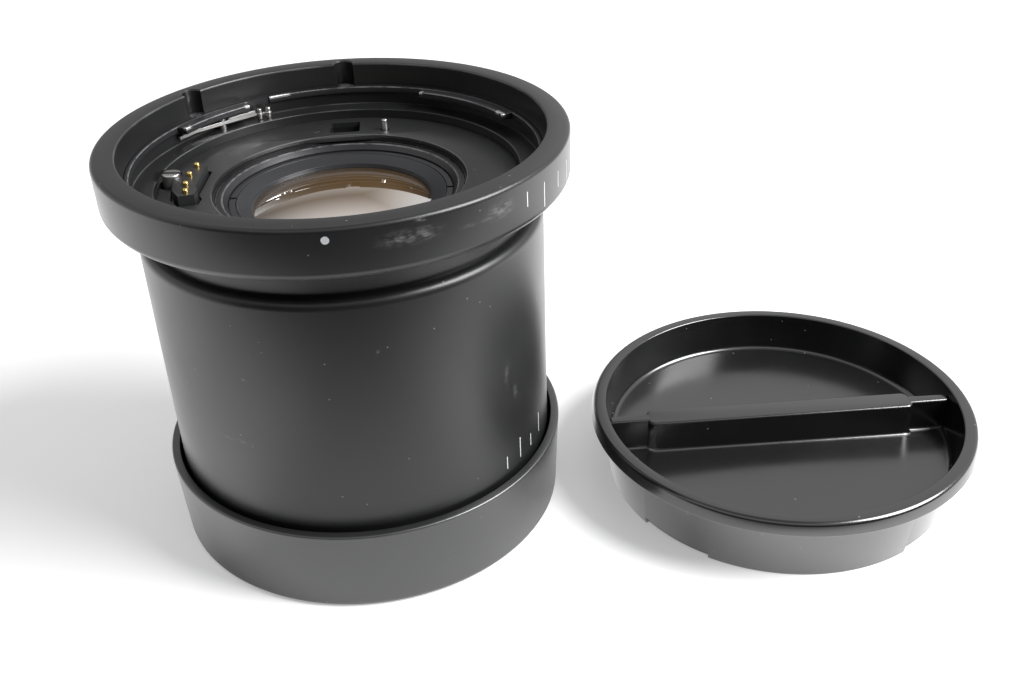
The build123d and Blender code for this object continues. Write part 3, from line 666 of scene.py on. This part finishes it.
class Finish(Nodes):
    """A material built on object coordinates in millimetres."""

    def __init__(self, name, centre=(0, 0, 0)):
        self.material = bpy.data.materials.new(name)
        self.material.use_nodes = True
        super().__init__(self.material.node_tree)
        self.shader = self.tree.nodes["Principled BSDF"]
        self.place = self.node("ShaderNodeMapping", sockets={
            "Vector": self.node("ShaderNodeTexCoord", output="Object"),
            "Scale": (1 / MM,) * 3,
            "Location": tuple(-value for value in centre)})
        self.x, self.y, self.z = self.split(self.place)
        self.radius = (self.x * self.x + self.y * self.y) ** 0.5
        self.angle = self.x.math("ARCTAN2", self.y, self.x) * (180 / pi)

    def set(self, **sockets):
        """Sets sockets of the main shader; underscores in the names stand for spaces."""
        for name, value in sockets.items():
            self.feed(self.shader.inputs[name.replace("_", " ")], value)

    def bump(self, height, distance):
        """Relief of a height, in millimetres."""
        relief = self.node("ShaderNodeBump", sockets={
            "Height": height, "Distance": distance * MM, "Strength": 1.0})
        self.set(Normal=relief)

    def vector(self, x, y, z):
        return self.node("ShaderNodeCombineXYZ", sockets={0: x, 1: y, 2: z})

    def noise(self, scale, detail, roughness=0.5, where=None):
        return self.node("ShaderNodeTexNoise", sockets={
            "Vector": where or self.place, "Scale": scale, "Detail": detail,
            "Roughness": roughness}, output="Fac")

    def specks(self, scale, size, share):
        """Scattered specks: a share of the pattern's cells have one."""
        distance = self.node("ShaderNodeTexVoronoi", {"feature": "F1"}, {
            "Vector": self.place, "Scale": scale}, output="Distance")
        chance = self.node("ShaderNodeSeparateColor", sockets={0: distance.also("Color")}, output="Red")
        chosen = chance.ramp(share - 0.01, share + 0.01, 1.0, 0.0)
        return distance.fade(size) * chosen

    def scuff(self, angle, level, half_angle, half_height, amount):
        """A rubbed patch on a round wall, broken up by fine streaks."""
        along_wall = self.vector(self.angle * 0.35, self.z * 2.2, 0.0)
        streaks = self.noise(scale=1.3, detail=4.0, roughness=0.65, where=along_wall)
        outline_noise = self.noise(scale=0.4, detail=3.0, where=self.vector(self.angle, self.z * 2.0, 0.0))
        across = abs(self.angle - angle).ramp(0.0, half_angle, 1.0, 0.0)
        upright = abs(self.z - level).ramp(0.0, half_height, 1.0, 0.0)
        broken = outline_noise.ramp(0.3, 0.65) * streaks.ramp(0.3, 0.8)
        return across * upright * broken * amount

    def edge_sheen_and_wear(self, radius, level, width=0.22):
        """The band along the edge of a round ledge, lightened as painted highlight and as wear."""
        return self.radius.near(radius, width) * self.z.near(level, width)


def grey(value, warm=0.0):
    """A grey, a little warmer where warm is above 0 and cooler where it is below."""
    return (value * (1 + warm), value, value * (1 - warm), 1.0)


def shaded(colour, share):
    """A share of a colour."""
    return tuple(part * share for part in colour) + (1.0,)


# Finishes

def anodised(name, base, rough, ior=1.5, outer_radius=0.0, scuffs=(), edges=()):
    """Black anodised aluminium, satin, with dust specks, rubbed patches and a painted highlight along given
    ledge edges.
    """
    finish = Finish(name)
    cloud = finish.noise(scale=0.07, detail=4.0)
    grain = finish.noise(scale=9.0, detail=2.0)
    worn = finish.specks(scale=0.45, size=0.09, share=0.16) * 0.5
    if scuffs:
        outer_wall = finish.radius.ramp(outer_radius - 0.8, outer_radius - 0.4)
        for scuff in scuffs:
            worn = worn.most(finish.scuff(*scuff) * outer_wall)
    # Painted highlight: the given ledge edges turn light grey as if they caught the light
    for radius, level, amount in edges:
        worn = worn.most(finish.edge_sheen_and_wear(radius, level) * cloud.ramp(0.3, 0.7) * amount)
    dark = finish.mix(cloud, grey(base * 0.8, -0.02), grey(base * 1.25, -0.02))
    finish.set(Base_Color=finish.mix(worn, dark, grey(0.3)), IOR=ior,
               Roughness=cloud * 0.1 + grain * 0.06 + worn * 0.2 + (rough - 0.08))
    finish.bump(grain, 0.004)
    return finish.material


def moulded(name, base, rough, centre=(0, 0, 0), ior=1.5):
    """Moulded plastic with fine scratches and dust."""
    finish = Finish(name, centre)
    cloud = finish.noise(scale=0.08, detail=4.0)
    grain = finish.noise(scale=6.0, detail=2.0)
    scratch_way = finish.vector(finish.x * 0.35 + finish.y * 0.1, finish.y * 1.9, finish.z)
    streaks = finish.noise(scale=1.1, detail=6.0, roughness=0.75, where=scratch_way)
    scratches = streaks.ramp(0.66, 0.74) * 0.25
    worn = scratches.most(finish.specks(scale=0.4, size=0.1, share=0.12) * 0.6)
    tone = finish.mix(cloud, grey(base * 0.85, -0.03), grey(base * 1.2, -0.03))
    finish.set(Base_Color=finish.mix(worn, tone, grey(0.18)), IOR=ior,
               Roughness=cloud * 0.12 + worn * 0.15 + (rough - 0.06))
    finish.bump(grain, 0.0015)
    return finish.material


def turned_metal(name, colour, rough, metallic=1.0, ring_scale=14.0, edges=(), corners=()):
    """Metal with fine turned rings, edges lightened by painted highlight and wear, and bare corners."""
    finish = Finish(name)
    across_rings = finish.vector(finish.radius, finish.z, 0.0)
    rings = finish.noise(scale=ring_scale, detail=2.0, where=across_rings)
    tone = finish.mix(rings, shaded(colour, 0.8), shaded(colour, 1.0))
    rub = finish.noise(scale=0.5, detail=3.0, roughness=0.6)
    patches = []
    # Painted highlight along the given edges, on the bayonet together with wear
    for radius, level, amount in edges:
        patches.append(finish.edge_sheen_and_wear(radius, level) * rub.ramp(0.3, 0.6) * amount)
    for radius, level, angle, half_angle in corners:
        corner = finish.edge_sheen_and_wear(radius, level, width=0.6) * finish.angle.near(angle, half_angle)
        patches.append(corner * rub.ramp(0.35, 0.5))
    if patches:
        worn = reduce(Value.most, patches)
        tone = finish.mix(worn, tone, grey(0.6))
        metallic = worn.most(metallic)
    finish.set(Base_Color=tone, Metallic=metallic, Roughness=rings * 0.15 + (rough - 0.07))
    finish.bump(rings, 0.006)
    return finish.material


def painted_reflection_glass(name, colour):
    """Glass coloured with a painted amber reflection of its coatings, with a coat that mirrors the light
    above it.
    """
    finish = Finish(name)
    haze = finish.noise(scale=0.5, detail=4.0)
    # Painted shade: the colour halves from the core out to the bezel's bore
    rim = finish.radius.ramp(glass_core, bezel_bore)
    finish.set(Base_Color=finish.mix(rim, shaded(colour, 1.0), shaded(colour, 0.5)),
               Roughness=haze * 0.03 + 0.02, IOR=2.7,
               Coat_Weight=1.0, Coat_IOR=5.0, Coat_Roughness=0.02)
    finish.bump(haze, 0.0005)
    return finish.material


finishes = {
    "collar": anodised("collar_black", base=0.009, rough=0.34, outer_radius=collar_radius,
                       scuffs=collar_scuffs, edges=collar_edge_highlights),
    "barrel": anodised("barrel_black", base=0.008, rough=0.36, outer_radius=barrel_radius,
                       scuffs=barrel_scuffs),
    "bayonet": turned_metal("bayonet_dark", (0.018, 0.018, 0.02), rough=0.4, metallic=0.1,
                            edges=bayonet_edge_wear_and_highlights, corners=bare_corners),
    "plate": anodised("plate_black", base=0.012, rough=0.4, ior=1.6, edges=plate_edge_highlights),
    "screw": turned_metal("screw_metal", (0.22, 0.22, 0.23), rough=0.34, metallic=0.8),
    "block": moulded("block_black", base=0.014, rough=0.4),
    "board": moulded("board_grey", base=0.06, rough=0.5),
    "gilt": turned_metal("gilt", (0.86, 0.6, 0.2), rough=0.2),
    "spring": turned_metal("spring_wire", (0.6, 0.6, 0.62), rough=0.3),
    "flex": moulded("flex_grey", base=0.2, rough=0.4),
    "bright": turned_metal("bright_metal", (0.66, 0.65, 0.64), rough=0.36, ring_scale=3.0),
    "brass": turned_metal("brass", (0.72, 0.55, 0.28), rough=0.3),
    "cell": turned_metal("cell_black", (0.014, 0.014, 0.016), rough=0.36, metallic=0.2,
                         edges=cell_edge_highlights),
    "ring": turned_metal("ring_grey", (0.02, 0.02, 0.022), rough=0.42, metallic=0.2),
    "bezel": turned_metal("bezel_blue", (0.012, 0.0125, 0.0155), rough=0.46, metallic=0.1),
    # The glass colours are a painted reflection of the lens coatings
    "glass": painted_reflection_glass("front_glass_painted_reflection", (0.15, 0.09, 0.04)),
    "inner_glass": painted_reflection_glass("inner_glass", (0.2, 0.12, 0.06)),
    "rear_mount": turned_metal("rear_mount_chrome", (0.75, 0.74, 0.72), rough=0.2),
    "baffle": moulded("baffle_black", base=0.01, rough=0.6),
    "cup": moulded("cup_black", base=0.012, rough=0.36, ior=1.8),
    "dish": moulded("dish_black", base=0.004, rough=0.2, centre=(dish_x, dish_y, 0), ior=1.8),
    "mark": moulded("mark_white", base=0.55, rough=0.5),
}
slots = {part["node"]: part["material_slot"] for part in frame["record"]["subparts"]}
for node, part in frame["nodes"].items():
    part.data.materials.clear()
    part.data.materials.append(finishes[slots[node]])


def finished(shape, name, finish, body="converter"):
    """Names a shape, scales it to metres, gives it its finish and puts it on its body."""
    shape.name = name
    shape.data.name = name
    shape.data.transform(Matrix.Scale(MM, 4))
    for face in shape.data.polygons:
        face.use_smooth = True
    shape.data.set_sharp_from_angle(angle=radians(SMOOTH_ANGLE))
    shape.data.materials.clear()
    shape.data.materials.append(finishes[finish])
    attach(shape, body)


def dress(shape, node, slot, body="converter"):
    """Puts a finished shape in the place of a node."""
    finished(shape, node + "_look", slot, body)
    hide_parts(node)


# Front collar and bayonet ring

def scallop_tool(angle):
    """The cutter of a screw's scallop: open at the top on the far side, a pocket on the near."""
    place = polar(screw_circle, angle)
    if angle > near_side_start:
        return post(scallop_radius, bayonet_under, pocket_top, place)
    chamfer_foot, chamfer_top = collar_top - scallop_chamfer, collar_top + scallop_chamfer
    return lathe([(0, bayonet_under), (scallop_radius, bayonet_under), (scallop_radius, chamfer_foot),
                  (scallop_radius + 2 * scallop_chamfer, chamfer_top), (0, chamfer_top)],
                 SMALL_STEPS, place)


def button_block(grow, foot, tip, edge):
    """The oblong pad of the release button, or its recess when grown."""
    outline = rounded_box(button_height + 2 * grow, button_width + 2 * grow, button_corner + grow)
    pad = plate([outline], foot, tip, edge)
    turn(pad, 90, "Y")
    shift(pad, 0, 0, button_level)
    return turn(pad, button_angle)


def front_collar():
    """The flared collar with its hub, the register of the bayonet ring, the track and the well."""
    body = lathe([
        (hub_bore, shoulder), (hub_radius, shoulder), (hub_radius, collar_lip, lip_round),
        (collar_radius - collar_foot_width, collar_foot, collar_foot_round),
        (collar_radius, collar_wall_foot, collar_edge_round), (collar_radius, collar_top, collar_round),
        (collar_bore, collar_top, collar_edge_round), (collar_bore, front_seat),
        (register_radius, front_seat), (register_radius, bayonet_under),
        (track_radius, bayonet_under), (track_radius, track_floor),
        (well_radius, track_floor, ledge_round), (well_radius, spigot_top), (hub_bore, spigot_top)])
    tools = [scallop_tool(angle) for angle in screw_angles]
    shaft_place = polar(shaft_circle, shaft_angle)
    tools.append(post(shaft_wall_recess, shaft_recess_foot, bayonet_under, shaft_place))
    tools.append(button_block(button_gap, button_floor, collar_radius + OVERCUT, button_recess_edge))
    return carve(body, tools)


def ear(angle):
    """The arc of the bayonet ring's edge round a screw."""
    share = (bayonet_radius ** 2 - screw_circle ** 2 - ear_radius ** 2) / (2 * screw_circle * ear_radius)
    reach = 90 + degrees(asin(-share))
    return arc(polar(screw_circle, angle), ear_radius, angle - reach, angle + reach)


def ear_span():
    """Half the angle about the optical axis that an ear takes from the ring's round edge."""
    return abs(degrees(asin(ear(0)[0][1] / bayonet_radius)))


def front_bayonet():
    """The ring with its inward lugs, its notch and an ear and a hole for each screw."""
    outside = []
    for number, angle in enumerate(screw_angles):
        following = screw_angles[(number + 1) % len(screw_angles)]
        end = following + (360 if following < angle else 0)
        outside += ear(angle) + arc((0, 0), bayonet_radius, angle + ear_span(), end - ear_span())[1:-1]
    inside = []
    for number, (angle, width) in enumerate(lugs):
        next_angle, next_width = lugs[(number + 1) % len(lugs)]
        gap_end = next_angle - next_width / 2 + (360 if next_angle < angle else 0)
        inside += arc((0, 0), lug_tip, angle - width / 2, angle + width / 2)
        inside += arc((0, 0), gap_radius, angle + width / 2, gap_end)
    body = plate([outside, inside], bayonet_under, front_seat, bayonet_edge, segments=2)
    cut_top = front_seat + OVERCUT
    tools = [sector(lug_tip, gap_radius + notch_depth, bayonet_under - OVERCUT, cut_top,
                    notch_angle, notch_width)]
    tools += [post(screw_hole, screw_head_foot, cut_top, polar(screw_circle, angle))
              for angle in screw_angles]
    return carve(body, tools)


def bayonet_screws():
    return joined([slotted_head(screw_head, screw_head_foot, front_seat - FIT, screw_edge, screw_slot,
                                polar(screw_circle, angle), slot_angle)
                   for angle, slot_angle in zip(screw_angles, screw_turns)])


dress(front_collar(), "front_collar", "collar")
dress(front_bayonet(), "front_bayonet", "bayonet")
dress(bayonet_screws(), "bayonet_screws", "screw")


# Mount plate and contacts

def block_shape(grow, foot, top, edge):
    """The arrow-shaped contact block, or its pocket when grown."""
    corners = ((0.99, 0.19), (0.78, -0.85), (-0.45, -0.74), (-0.66, -1.0), (-0.92, -0.92),
               (-1.0, 0.13), (-0.67, 0.73), (-0.11, 1.0), (0.54, 0.82))
    x_grow, y_grow = 1 + grow / block_half_width, 1 + grow / block_half_length
    outline = [(block_circle + across * block_half_width * x_grow, -along * block_half_length * y_grow)
               for along, across in corners]
    return turn(plate([outline], foot, top, edge), block_angle)


def window_tool(foot, top):
    """The cutter of the plate's window and of the pocket under it."""
    tool = plate([rounded_box(window_height, window_width, window_corner)], foot, top, CUTTER_EDGE)
    return turn(shift(tool, window_circle, 0), window_angle)


def flat_opening():
    """The round opening of the mount plate, with its one flat."""
    half = degrees(asin(sqrt(1 - (plate_flat / plate_opening) ** 2)))
    return arc((0, 0), plate_opening, plate_flat_angle + half, plate_flat_angle + 360 - half)


def mount_plate():
    """The flat plate with its openings for the window, block, shaft, rod and screws."""
    rim = arc((0, 0), plate_radius, 0, 360)[:-1]
    body = plate([rim, flat_opening()], spigot_top, plate_top, plate_edge)
    foot, top = spigot_top - OVERCUT, plate_top + OVERCUT
    tools = [window_tool(foot, top), block_shape(pocket_margin, foot, top, CUTTER_EDGE),
             post(shaft_hole, foot, top, polar(shaft_circle, shaft_angle)),
             post(rod_hole, foot, top, polar(rod_circle, rod_angle))]
    tools += [post(plate_screw_hole, foot, top, polar(plate_screw_circle, angle))
              for angle in plate_screw_angles]
    return carve(body, tools)


def plate_screws():
    return joined([slotted_head(plate_screw_hole - SLIDE, spigot_top, plate_screw_top, plate_screw_edge,
                                plate_screw_slot, polar(plate_screw_circle, angle),
                                angle + plate_screw_turn)
                   for angle in plate_screw_angles])


def contact_block():
    """The block with a hole for each pin, cut away round the drive shaft."""
    body = block_shape(0, board_top, block_top, block_edge)
    top = block_top + OVERCUT
    tools = [post(shaft_block_bore, board_top - OVERCUT, top, polar(shaft_circle, shaft_angle))]
    tools += [post(pin_radius + FIT, pin_hole_foot, top, polar(block_circle, angle), PIN_STEPS)
              for angle in pin_angles]
    return carve(body, tools)


dress(mount_plate(), "mount_plate", "plate")
dress(plate_screws(), "plate_screws", "screw")
dress(contact_block(), "contact_block", "block")
for number, angle in enumerate(pin_angles, 1):
    pin = post(pin_radius, pin_foot, pin_top, polar(block_circle, angle), PIN_STEPS, edge=pin_round)
    dress(pin, f"contact_pin_{number}", "gilt", body=f"contact_pin_{number}")


# Drive shaft, push rod, lever and button

def drive_shaft():
    place = polar(shaft_circle, shaft_angle)
    head = slotted_head(shaft_head, shaft_head_foot, shaft_top, shaft_head_edge, shaft_slot, place,
                        shaft_angle)
    return joined([head, post(shaft_neck, shaft_foot, shaft_head_foot, place)])


def push_rod():
    return post(rod_radius, rod_foot, rod_top, polar(rod_circle, rod_angle), PIN_STEPS, edge=rod_round)


def bar(start, end, start_width, end_width, top, edge):
    """A flat bar of the lever from a point to another."""
    along = (end - start).normalized()
    across = Vector((-along.y, along.x, 0))
    corners = [start - across * start_width / 2, end - across * end_width / 2,
               end + across * end_width / 2, start + across * start_width / 2]
    return plate([[(corner.x, corner.y) for corner in corners]], lever_foot, top, edge)


nose_line = (spot(*nose_centre) - spot(*neck_end)).normalized()
roller_spots = [spot(*nose_centre) + nose_line * (side * roller_spacing / 2) for side in (-1, 1)]


def lock_lever():
    """A blade that widens towards its pivot, a tail to the button and a raised neck to the rollers."""
    bend, neck_corner = spot(*lever_bend), spot(*neck_end)
    blade = bar(bend, spot(*lever_head), tail_width, lever_head_width, lever_top, lever_edge)
    parts = [post(tail_width / 2, lever_foot, lever_top, bend[:2], steps=24, edge=neck_edge),
             bar(spot(*lever_tail), bend, tail_width, tail_width, lever_top, neck_edge),
             bar(spot(*neck_start), neck_corner, neck_width, neck_width, neck_top, neck_edge),
             bar(neck_corner, roller_spots[1], neck_width, neck_width, nose_top, nose_edge)]
    parts += [post(roller_radius + nose_margin, lever_foot, nose_top, place[:2], PIN_STEPS, nose_edge)
              for place in roller_spots]
    return carve(blade, parts, "UNION")


def lever_pivot():
    """The pivot's shoulder under the lever, and its head above."""
    place = polar(*pivot_centre)
    return joined([post(pivot_head, track_floor, lever_foot - FIT, place, PIN_STEPS),
                   post(pivot_head, lever_top + FIT, pivot_top, place, PIN_STEPS, pivot_edge)])


def lever_rollers():
    return joined([post(roller_radius, roller_foot, roller_top, place[:2], PIN_STEPS, roller_round)
                   for place in roller_spots])


def release_button():
    return button_block(0, button_back, button_tip, button_edge)


dress(drive_shaft(), "drive_shaft", "bright", body="drive_shaft")
dress(push_rod(), "push_rod", "bright", body="push_rod")
dress(lock_lever(), "lock_lever", "bright", body="lock_lever")
dress(lever_rollers(), "lever_rollers", "bright", body="lock_lever")
dress(lever_pivot(), "lever_pivot", "bright")
dress(release_button(), "release_button", "collar", body="release_button")


# Barrel

def barrel_shell():
    """The tube with its bulkhead, its spigot in the collar's hub and its flange at the foot."""
    body = lathe([
        (bulkhead_bore, bulkhead_under), (bulkhead_bore, cell_ledge), (cell_bore, cell_ledge),
        (cell_bore, spigot_top), (spigot_radius, spigot_top), (spigot_radius, shoulder),
        (barrel_radius, shoulder, shoulder_round), (barrel_radius, barrel_foot, barrel_foot_round),
        (flange_bore, barrel_foot), (flange_bore, flange_top), (barrel_bore, flange_top),
        (barrel_bore, bulkhead_under)])
    shaft_place, rod_place = polar(shaft_circle, shaft_angle), polar(rod_circle, rod_angle)
    under, over = bulkhead_under - OVERCUT, spigot_top + OVERCUT
    tools = [window_tool(window_floor, over),
             block_shape(block_gap, cell_ledge, over, CUTTER_EDGE),
             post(shaft_hole, shaft_hole_floor, over, shaft_place),
             post(shaft_bore, under, over, shaft_place),
             post(rod_radius + SLIDE, under, over, rod_place)]
    return carve(body, tools)


dress(barrel_shell(), "barrel_shell", "barrel")


# Lens cell, rings and glass

def front_cell():
    lens_bore = glass_radius + FIT
    return lathe([
        (doublet_bore, cell_foot), (cell_pocket, cell_foot), (cell_pocket, cell_ledge),
        (cell_radius, cell_ledge), (cell_radius, cell_top, cell_rim_round),
        (cell_pocket + cell_slope, cell_top, cell_mouth_round), (cell_pocket, cell_top - cell_slope),
        (cell_pocket, bezel_foot), (lens_bore, bezel_foot), (lens_bore, glass_foot),
        (ledge_bore, glass_foot), (ledge_bore, ledge_under), (doublet_bore, ledge_under)])


def front_retainer():
    """The thin ring with its two spanner slots."""
    body = lathe([(retainer_bore, retainer_foot), (retainer_radius, retainer_foot),
                  (retainer_radius, retainer_top, retainer_edge),
                  (retainer_bore, retainer_top, retainer_edge)])
    width, depth = retainer_slot
    return carve(body, [slot_tool(retainer_slot_length, width, retainer_top - depth,
                                  retainer_top + OVERCUT, angle, retainer_radius)
                        for angle in retainer_slot_angles])


def front_bezel():
    return lathe([
        (bezel_bore, bezel_foot), (retainer_radius, bezel_foot), (retainer_radius, retainer_foot),
        (bezel_rim, retainer_foot), (bezel_rim, bezel_top, bezel_rim_round),
        (bezel_mouth, bezel_top, bezel_rim_round), (bezel_bore, bezel_top - bezel_slope, bezel_bore_round)])


def front_lens():
    return lathe([(0, glass_foot + glass_hollow), (ledge_bore, glass_foot), (glass_radius, glass_foot),
                  (glass_radius, glass_edge)] + dome(bezel_bore, glass_edge, glass_rise))


def doublet_crown():
    return lathe([(0, crown_foot), (crown_radius, crown_foot)] + dome(crown_radius, crown_top, crown_rise))


dress(front_cell(), "front_cell", "cell")
dress(front_retainer(), "front_retainer", "ring")
dress(front_bezel(), "front_bezel", "bezel")
dress(front_lens(), "front_lens", "glass")
dress(doublet_crown(), "doublet_crown", "inner_glass")


# Caps

def rear_cap():
    """The cup, with a groove under its foot and lugs inside that match the bayonet's."""
    body = lathe([
        (0, 0), (cap_groove_inner, 0), (cap_groove_inner, cap_groove_depth),
        (cap_groove_outer, cap_groove_depth), (cap_groove_outer, 0), (cap_foot, 0, cap_foot_round),
        (cap_radius, cap_rim, cap_rim_round), (cap_bore, cap_rim, cap_bore_round),
        (cap_inner_foot, cap_base, cap_inner_round), (0, cap_base)])
    cap_lugs = [sector(cap_lug_tip, cap_lug_root, cap_lug_foot, cap_lug_top, angle, width)
                for angle, width in lugs]
    return carve(body, cap_lugs, "UNION")


def moulded_bar(length, width, corner):
    """A bar on the dish's floor: its foot spreads in a hollow curve and its top edge is round."""
    levels = [(bar_flare, dish_floor - OVERCUT), (bar_flare, dish_floor)]
    for number in range(1, bar_flare_steps + 1):
        bend = radians(90 * number / bar_flare_steps)
        levels.append((bar_flare * (1 - sin(bend)), dish_floor + bar_flare * (1 - cos(bend))))
    for number in range(bar_round_steps + 1):
        bend = radians(90 * number / bar_round_steps)
        levels.append((bar_round * (cos(bend) - 1), bar_top - bar_round + bar_round * sin(bend)))
    return loft([[(x, y, level) for x, y in rounded_box(length + 2 * grow, width + 2 * grow, corner + grow)]
                 for grow, level in levels])


def dish_rib():
    """The thin rib, cut to the inside of the dish."""
    rib = moulded_bar(rib_length, rib_width, rib_corner)
    foot = dish_floor - OVERCUT
    inside = lathe([(0, foot), (dish_floor_radius + rib_root, foot), (dish_mouth - rib_root, rib_top),
                    (0, rib_top)])
    return carve(rib, [inside], "INTERSECT")


def front_cap():
    """The dish with its skirt, its hollow bar and rib, and the recesses under the skirt."""
    body = lathe([
        (0, dish_floor_under), (skirt_bore, dish_floor_under), (skirt_bore, 0, skirt_foot_round),
        (skirt_foot, 0, skirt_foot_round), (skirt_top, dish_rim_foot, skirt_top_round),
        (dish_radius + rim_flare, dish_rim_foot, dish_rim_foot_round),
        (dish_radius - rim_flare, dish_top, dish_round), (dish_mouth, dish_top, dish_mouth_round),
        (dish_floor_radius, dish_floor, dish_fillet), (0, dish_floor)])
    handle = moulded_bar(bar_length, bar_width, bar_corner)
    carve(body, [turn(handle, bar_angle), turn(dish_rib(), bar_angle)], "UNION")
    core_outline = rounded_box(bar_length - 2 * bar_wall, bar_width - 2 * bar_wall, bar_core_corner)
    core = plate([core_outline], 0, bar_top - bar_wall, bar_core_edge)
    carve(body, [turn(core, bar_angle)])
    carve(body, [sector(recess_back, skirt_top + OVERCUT, -OVERCUT, recess_height, angle, recess_width)
                 for angle in recess_angles])
    return shift(body, dish_x, dish_y)


dress(rear_cap(), "rear_cap", "cup", body="rear_cap")
dress(front_cap(), "front_cap", "dish", body="front_cap")


# Marks

def index_line(radius, angle, foot, top):
    """An upright painted line on a round wall."""
    width = degrees(line_width / radius)
    return sector(radius - paint, radius + paint, foot, top, angle, width, line_steps)


def index_dot():
    """A painted dot on the collar's wall."""
    dot = post(dot_radius, -paint, paint, steps=dot_steps)
    turn(dot, 90, "Y")
    shift(dot, collar_radius, 0, dot_level)
    return turn(dot, dot_angle)


collar_marks = joined([index_line(collar_radius, *line) for line in collar_lines] + [index_dot()])
finished(collar_marks, "collar_index_marks", "mark")
barrel_marks = joined([index_line(barrel_radius, *line) for line in barrel_lines])
finished(barrel_marks, "barrel_index_lines", "mark")


# Floor: white to the camera; to other rays painted shade in front of the object and a painted glow at its
# sides

FLOOR_SIZE = 6.0
FLOOR_GAP = 0.00005
floor_mesh = bpy.data.meshes.new("floor")
floor_bm = bmesh.new()
bmesh.ops.create_grid(floor_bm, x_segments=1, y_segments=1, size=FLOOR_SIZE)
floor_bm.to_mesh(floor_mesh)
floor_bm.free()
floor = linked(floor_mesh)
floor.name = "floor"
floor.location.z = -FLOOR_GAP
table = Finish("floor_white")
camera_ray = table.node("ShaderNodeLightPath", output="Is Camera Ray")
mirrored_ray = camera_ray.also("Is Glossy Ray").most(camera_ray.also("Is Transmission Ray"))
aside = abs(table.x)
# Painted shade on the floor in front of the object, for all rays but the camera's
lit_zone = table.y.ramp(-210.0, -70.0).most(camera_ray)
side_glow = (aside.ramp(34.0, 80.0) * 0.8 + 0.2) * aside.ramp(110.0, 170.0, 1.0, 0.75)
beside = aside.ramp(26.0, 60.0) * table.y.ramp(-60.0, -30.0)
far = table.radius.ramp(300.0, 900.0)
glow = (camera_ray * (far * 0.6 + 0.3)).most(mirrored_ray * side_glow.most(beside) * lit_zone)
table.set(Base_Color=table.mix(lit_zone, grey(0.08), grey(0.8)), Roughness=0.9, Specular_IOR_Level=0.0,
          Emission_Color=table.mix(glow, grey(0.0), grey(1.0)), Emission_Strength=1.0)
floor.data.materials.append(table.material)


# World: a white background and soft boxes overhead, at the sides, at the right and behind

world = bpy.data.worlds.new("studio")
bpy.context.scene.world = world
world.use_nodes = True
studio = Nodes(world.node_tree)
east, north, up = studio.split(studio.node("ShaderNodeTexCoord", output="Generated"))
overhead = up.ramp(0.35, 0.75)
sides = abs(east).ramp(0.4, 0.85) * up.ramp(-0.15, 0.1) * north.ramp(-0.55, -0.05)
right = east.ramp(0.0, 0.28) * up.ramp(0.02, 0.22) * north.ramp(-0.2, 0.3)
behind = north.ramp(0.2, 0.7) * up.ramp(0.5, 0.2) * 0.6
seen = studio.node("ShaderNodeLightPath", output="Is Camera Ray")
mirrored = seen.also("Is Glossy Ray")
soft_boxes = overhead.most(sides * 0.9).most(right).most(behind) * 0.92 + 0.08
soft_boxes = soft_boxes * mirrored.ramp(0.0, 1.0, 0.62, 1.0)
zenith_shade = up.ramp(0.8, 0.97, 0.0, 0.65) * mirrored
soft_boxes = soft_boxes * (1 - zenith_shade)
background = world.node_tree.nodes["Background"]
background.inputs["Color"].default_value = grey(1.0)
studio.feed(background.inputs["Strength"], soft_boxes.most(seen))


# Key light: a soft disk to the right of the camera

KEY_PLACE = Vector((0.6, -0.25, 0.6))
KEY_TARGET = Vector((0.03, 0, 0.04))
key = bpy.data.lights.new("key", "AREA")
key.shape = "DISK"
key.size = 0.55
key.energy = 15.0
key_lamp = bpy.data.objects.new("key", key)
bpy.context.scene.collection.objects.link(key_lamp)
key_lamp.location = KEY_PLACE
key_lamp.rotation_euler = (KEY_PLACE - KEY_TARGET).to_track_quat("Z", "Y").to_euler()


# Camera, fitted to the round edges that the photograph shows

photo_width = 1024
focal_pixels = 1122.1
sensor = 36.0
camera_place = (0.0, -0.21189, 0.16258)
camera_yaw, camera_pitch, camera_roll = 8.996, 31.177, -2.031
camera = bpy.data.objects.new("camera", bpy.data.cameras.new("camera"))
camera.data.sensor_width = sensor
camera.data.lens = focal_pixels / photo_width * sensor
camera.data.clip_start = 0.005
camera.matrix_world = (Matrix.Translation(camera_place) @ Matrix.Rotation(radians(-camera_yaw), 4, "Z")
                       @ Matrix.Rotation(radians(90 - camera_pitch), 4, "X")
                       @ Matrix.Rotation(radians(camera_roll), 4, "Z"))
bpy.context.scene.collection.objects.link(camera)
bpy.context.scene.camera = camera
bpy.context.scene.view_settings.view_transform = "Standard"
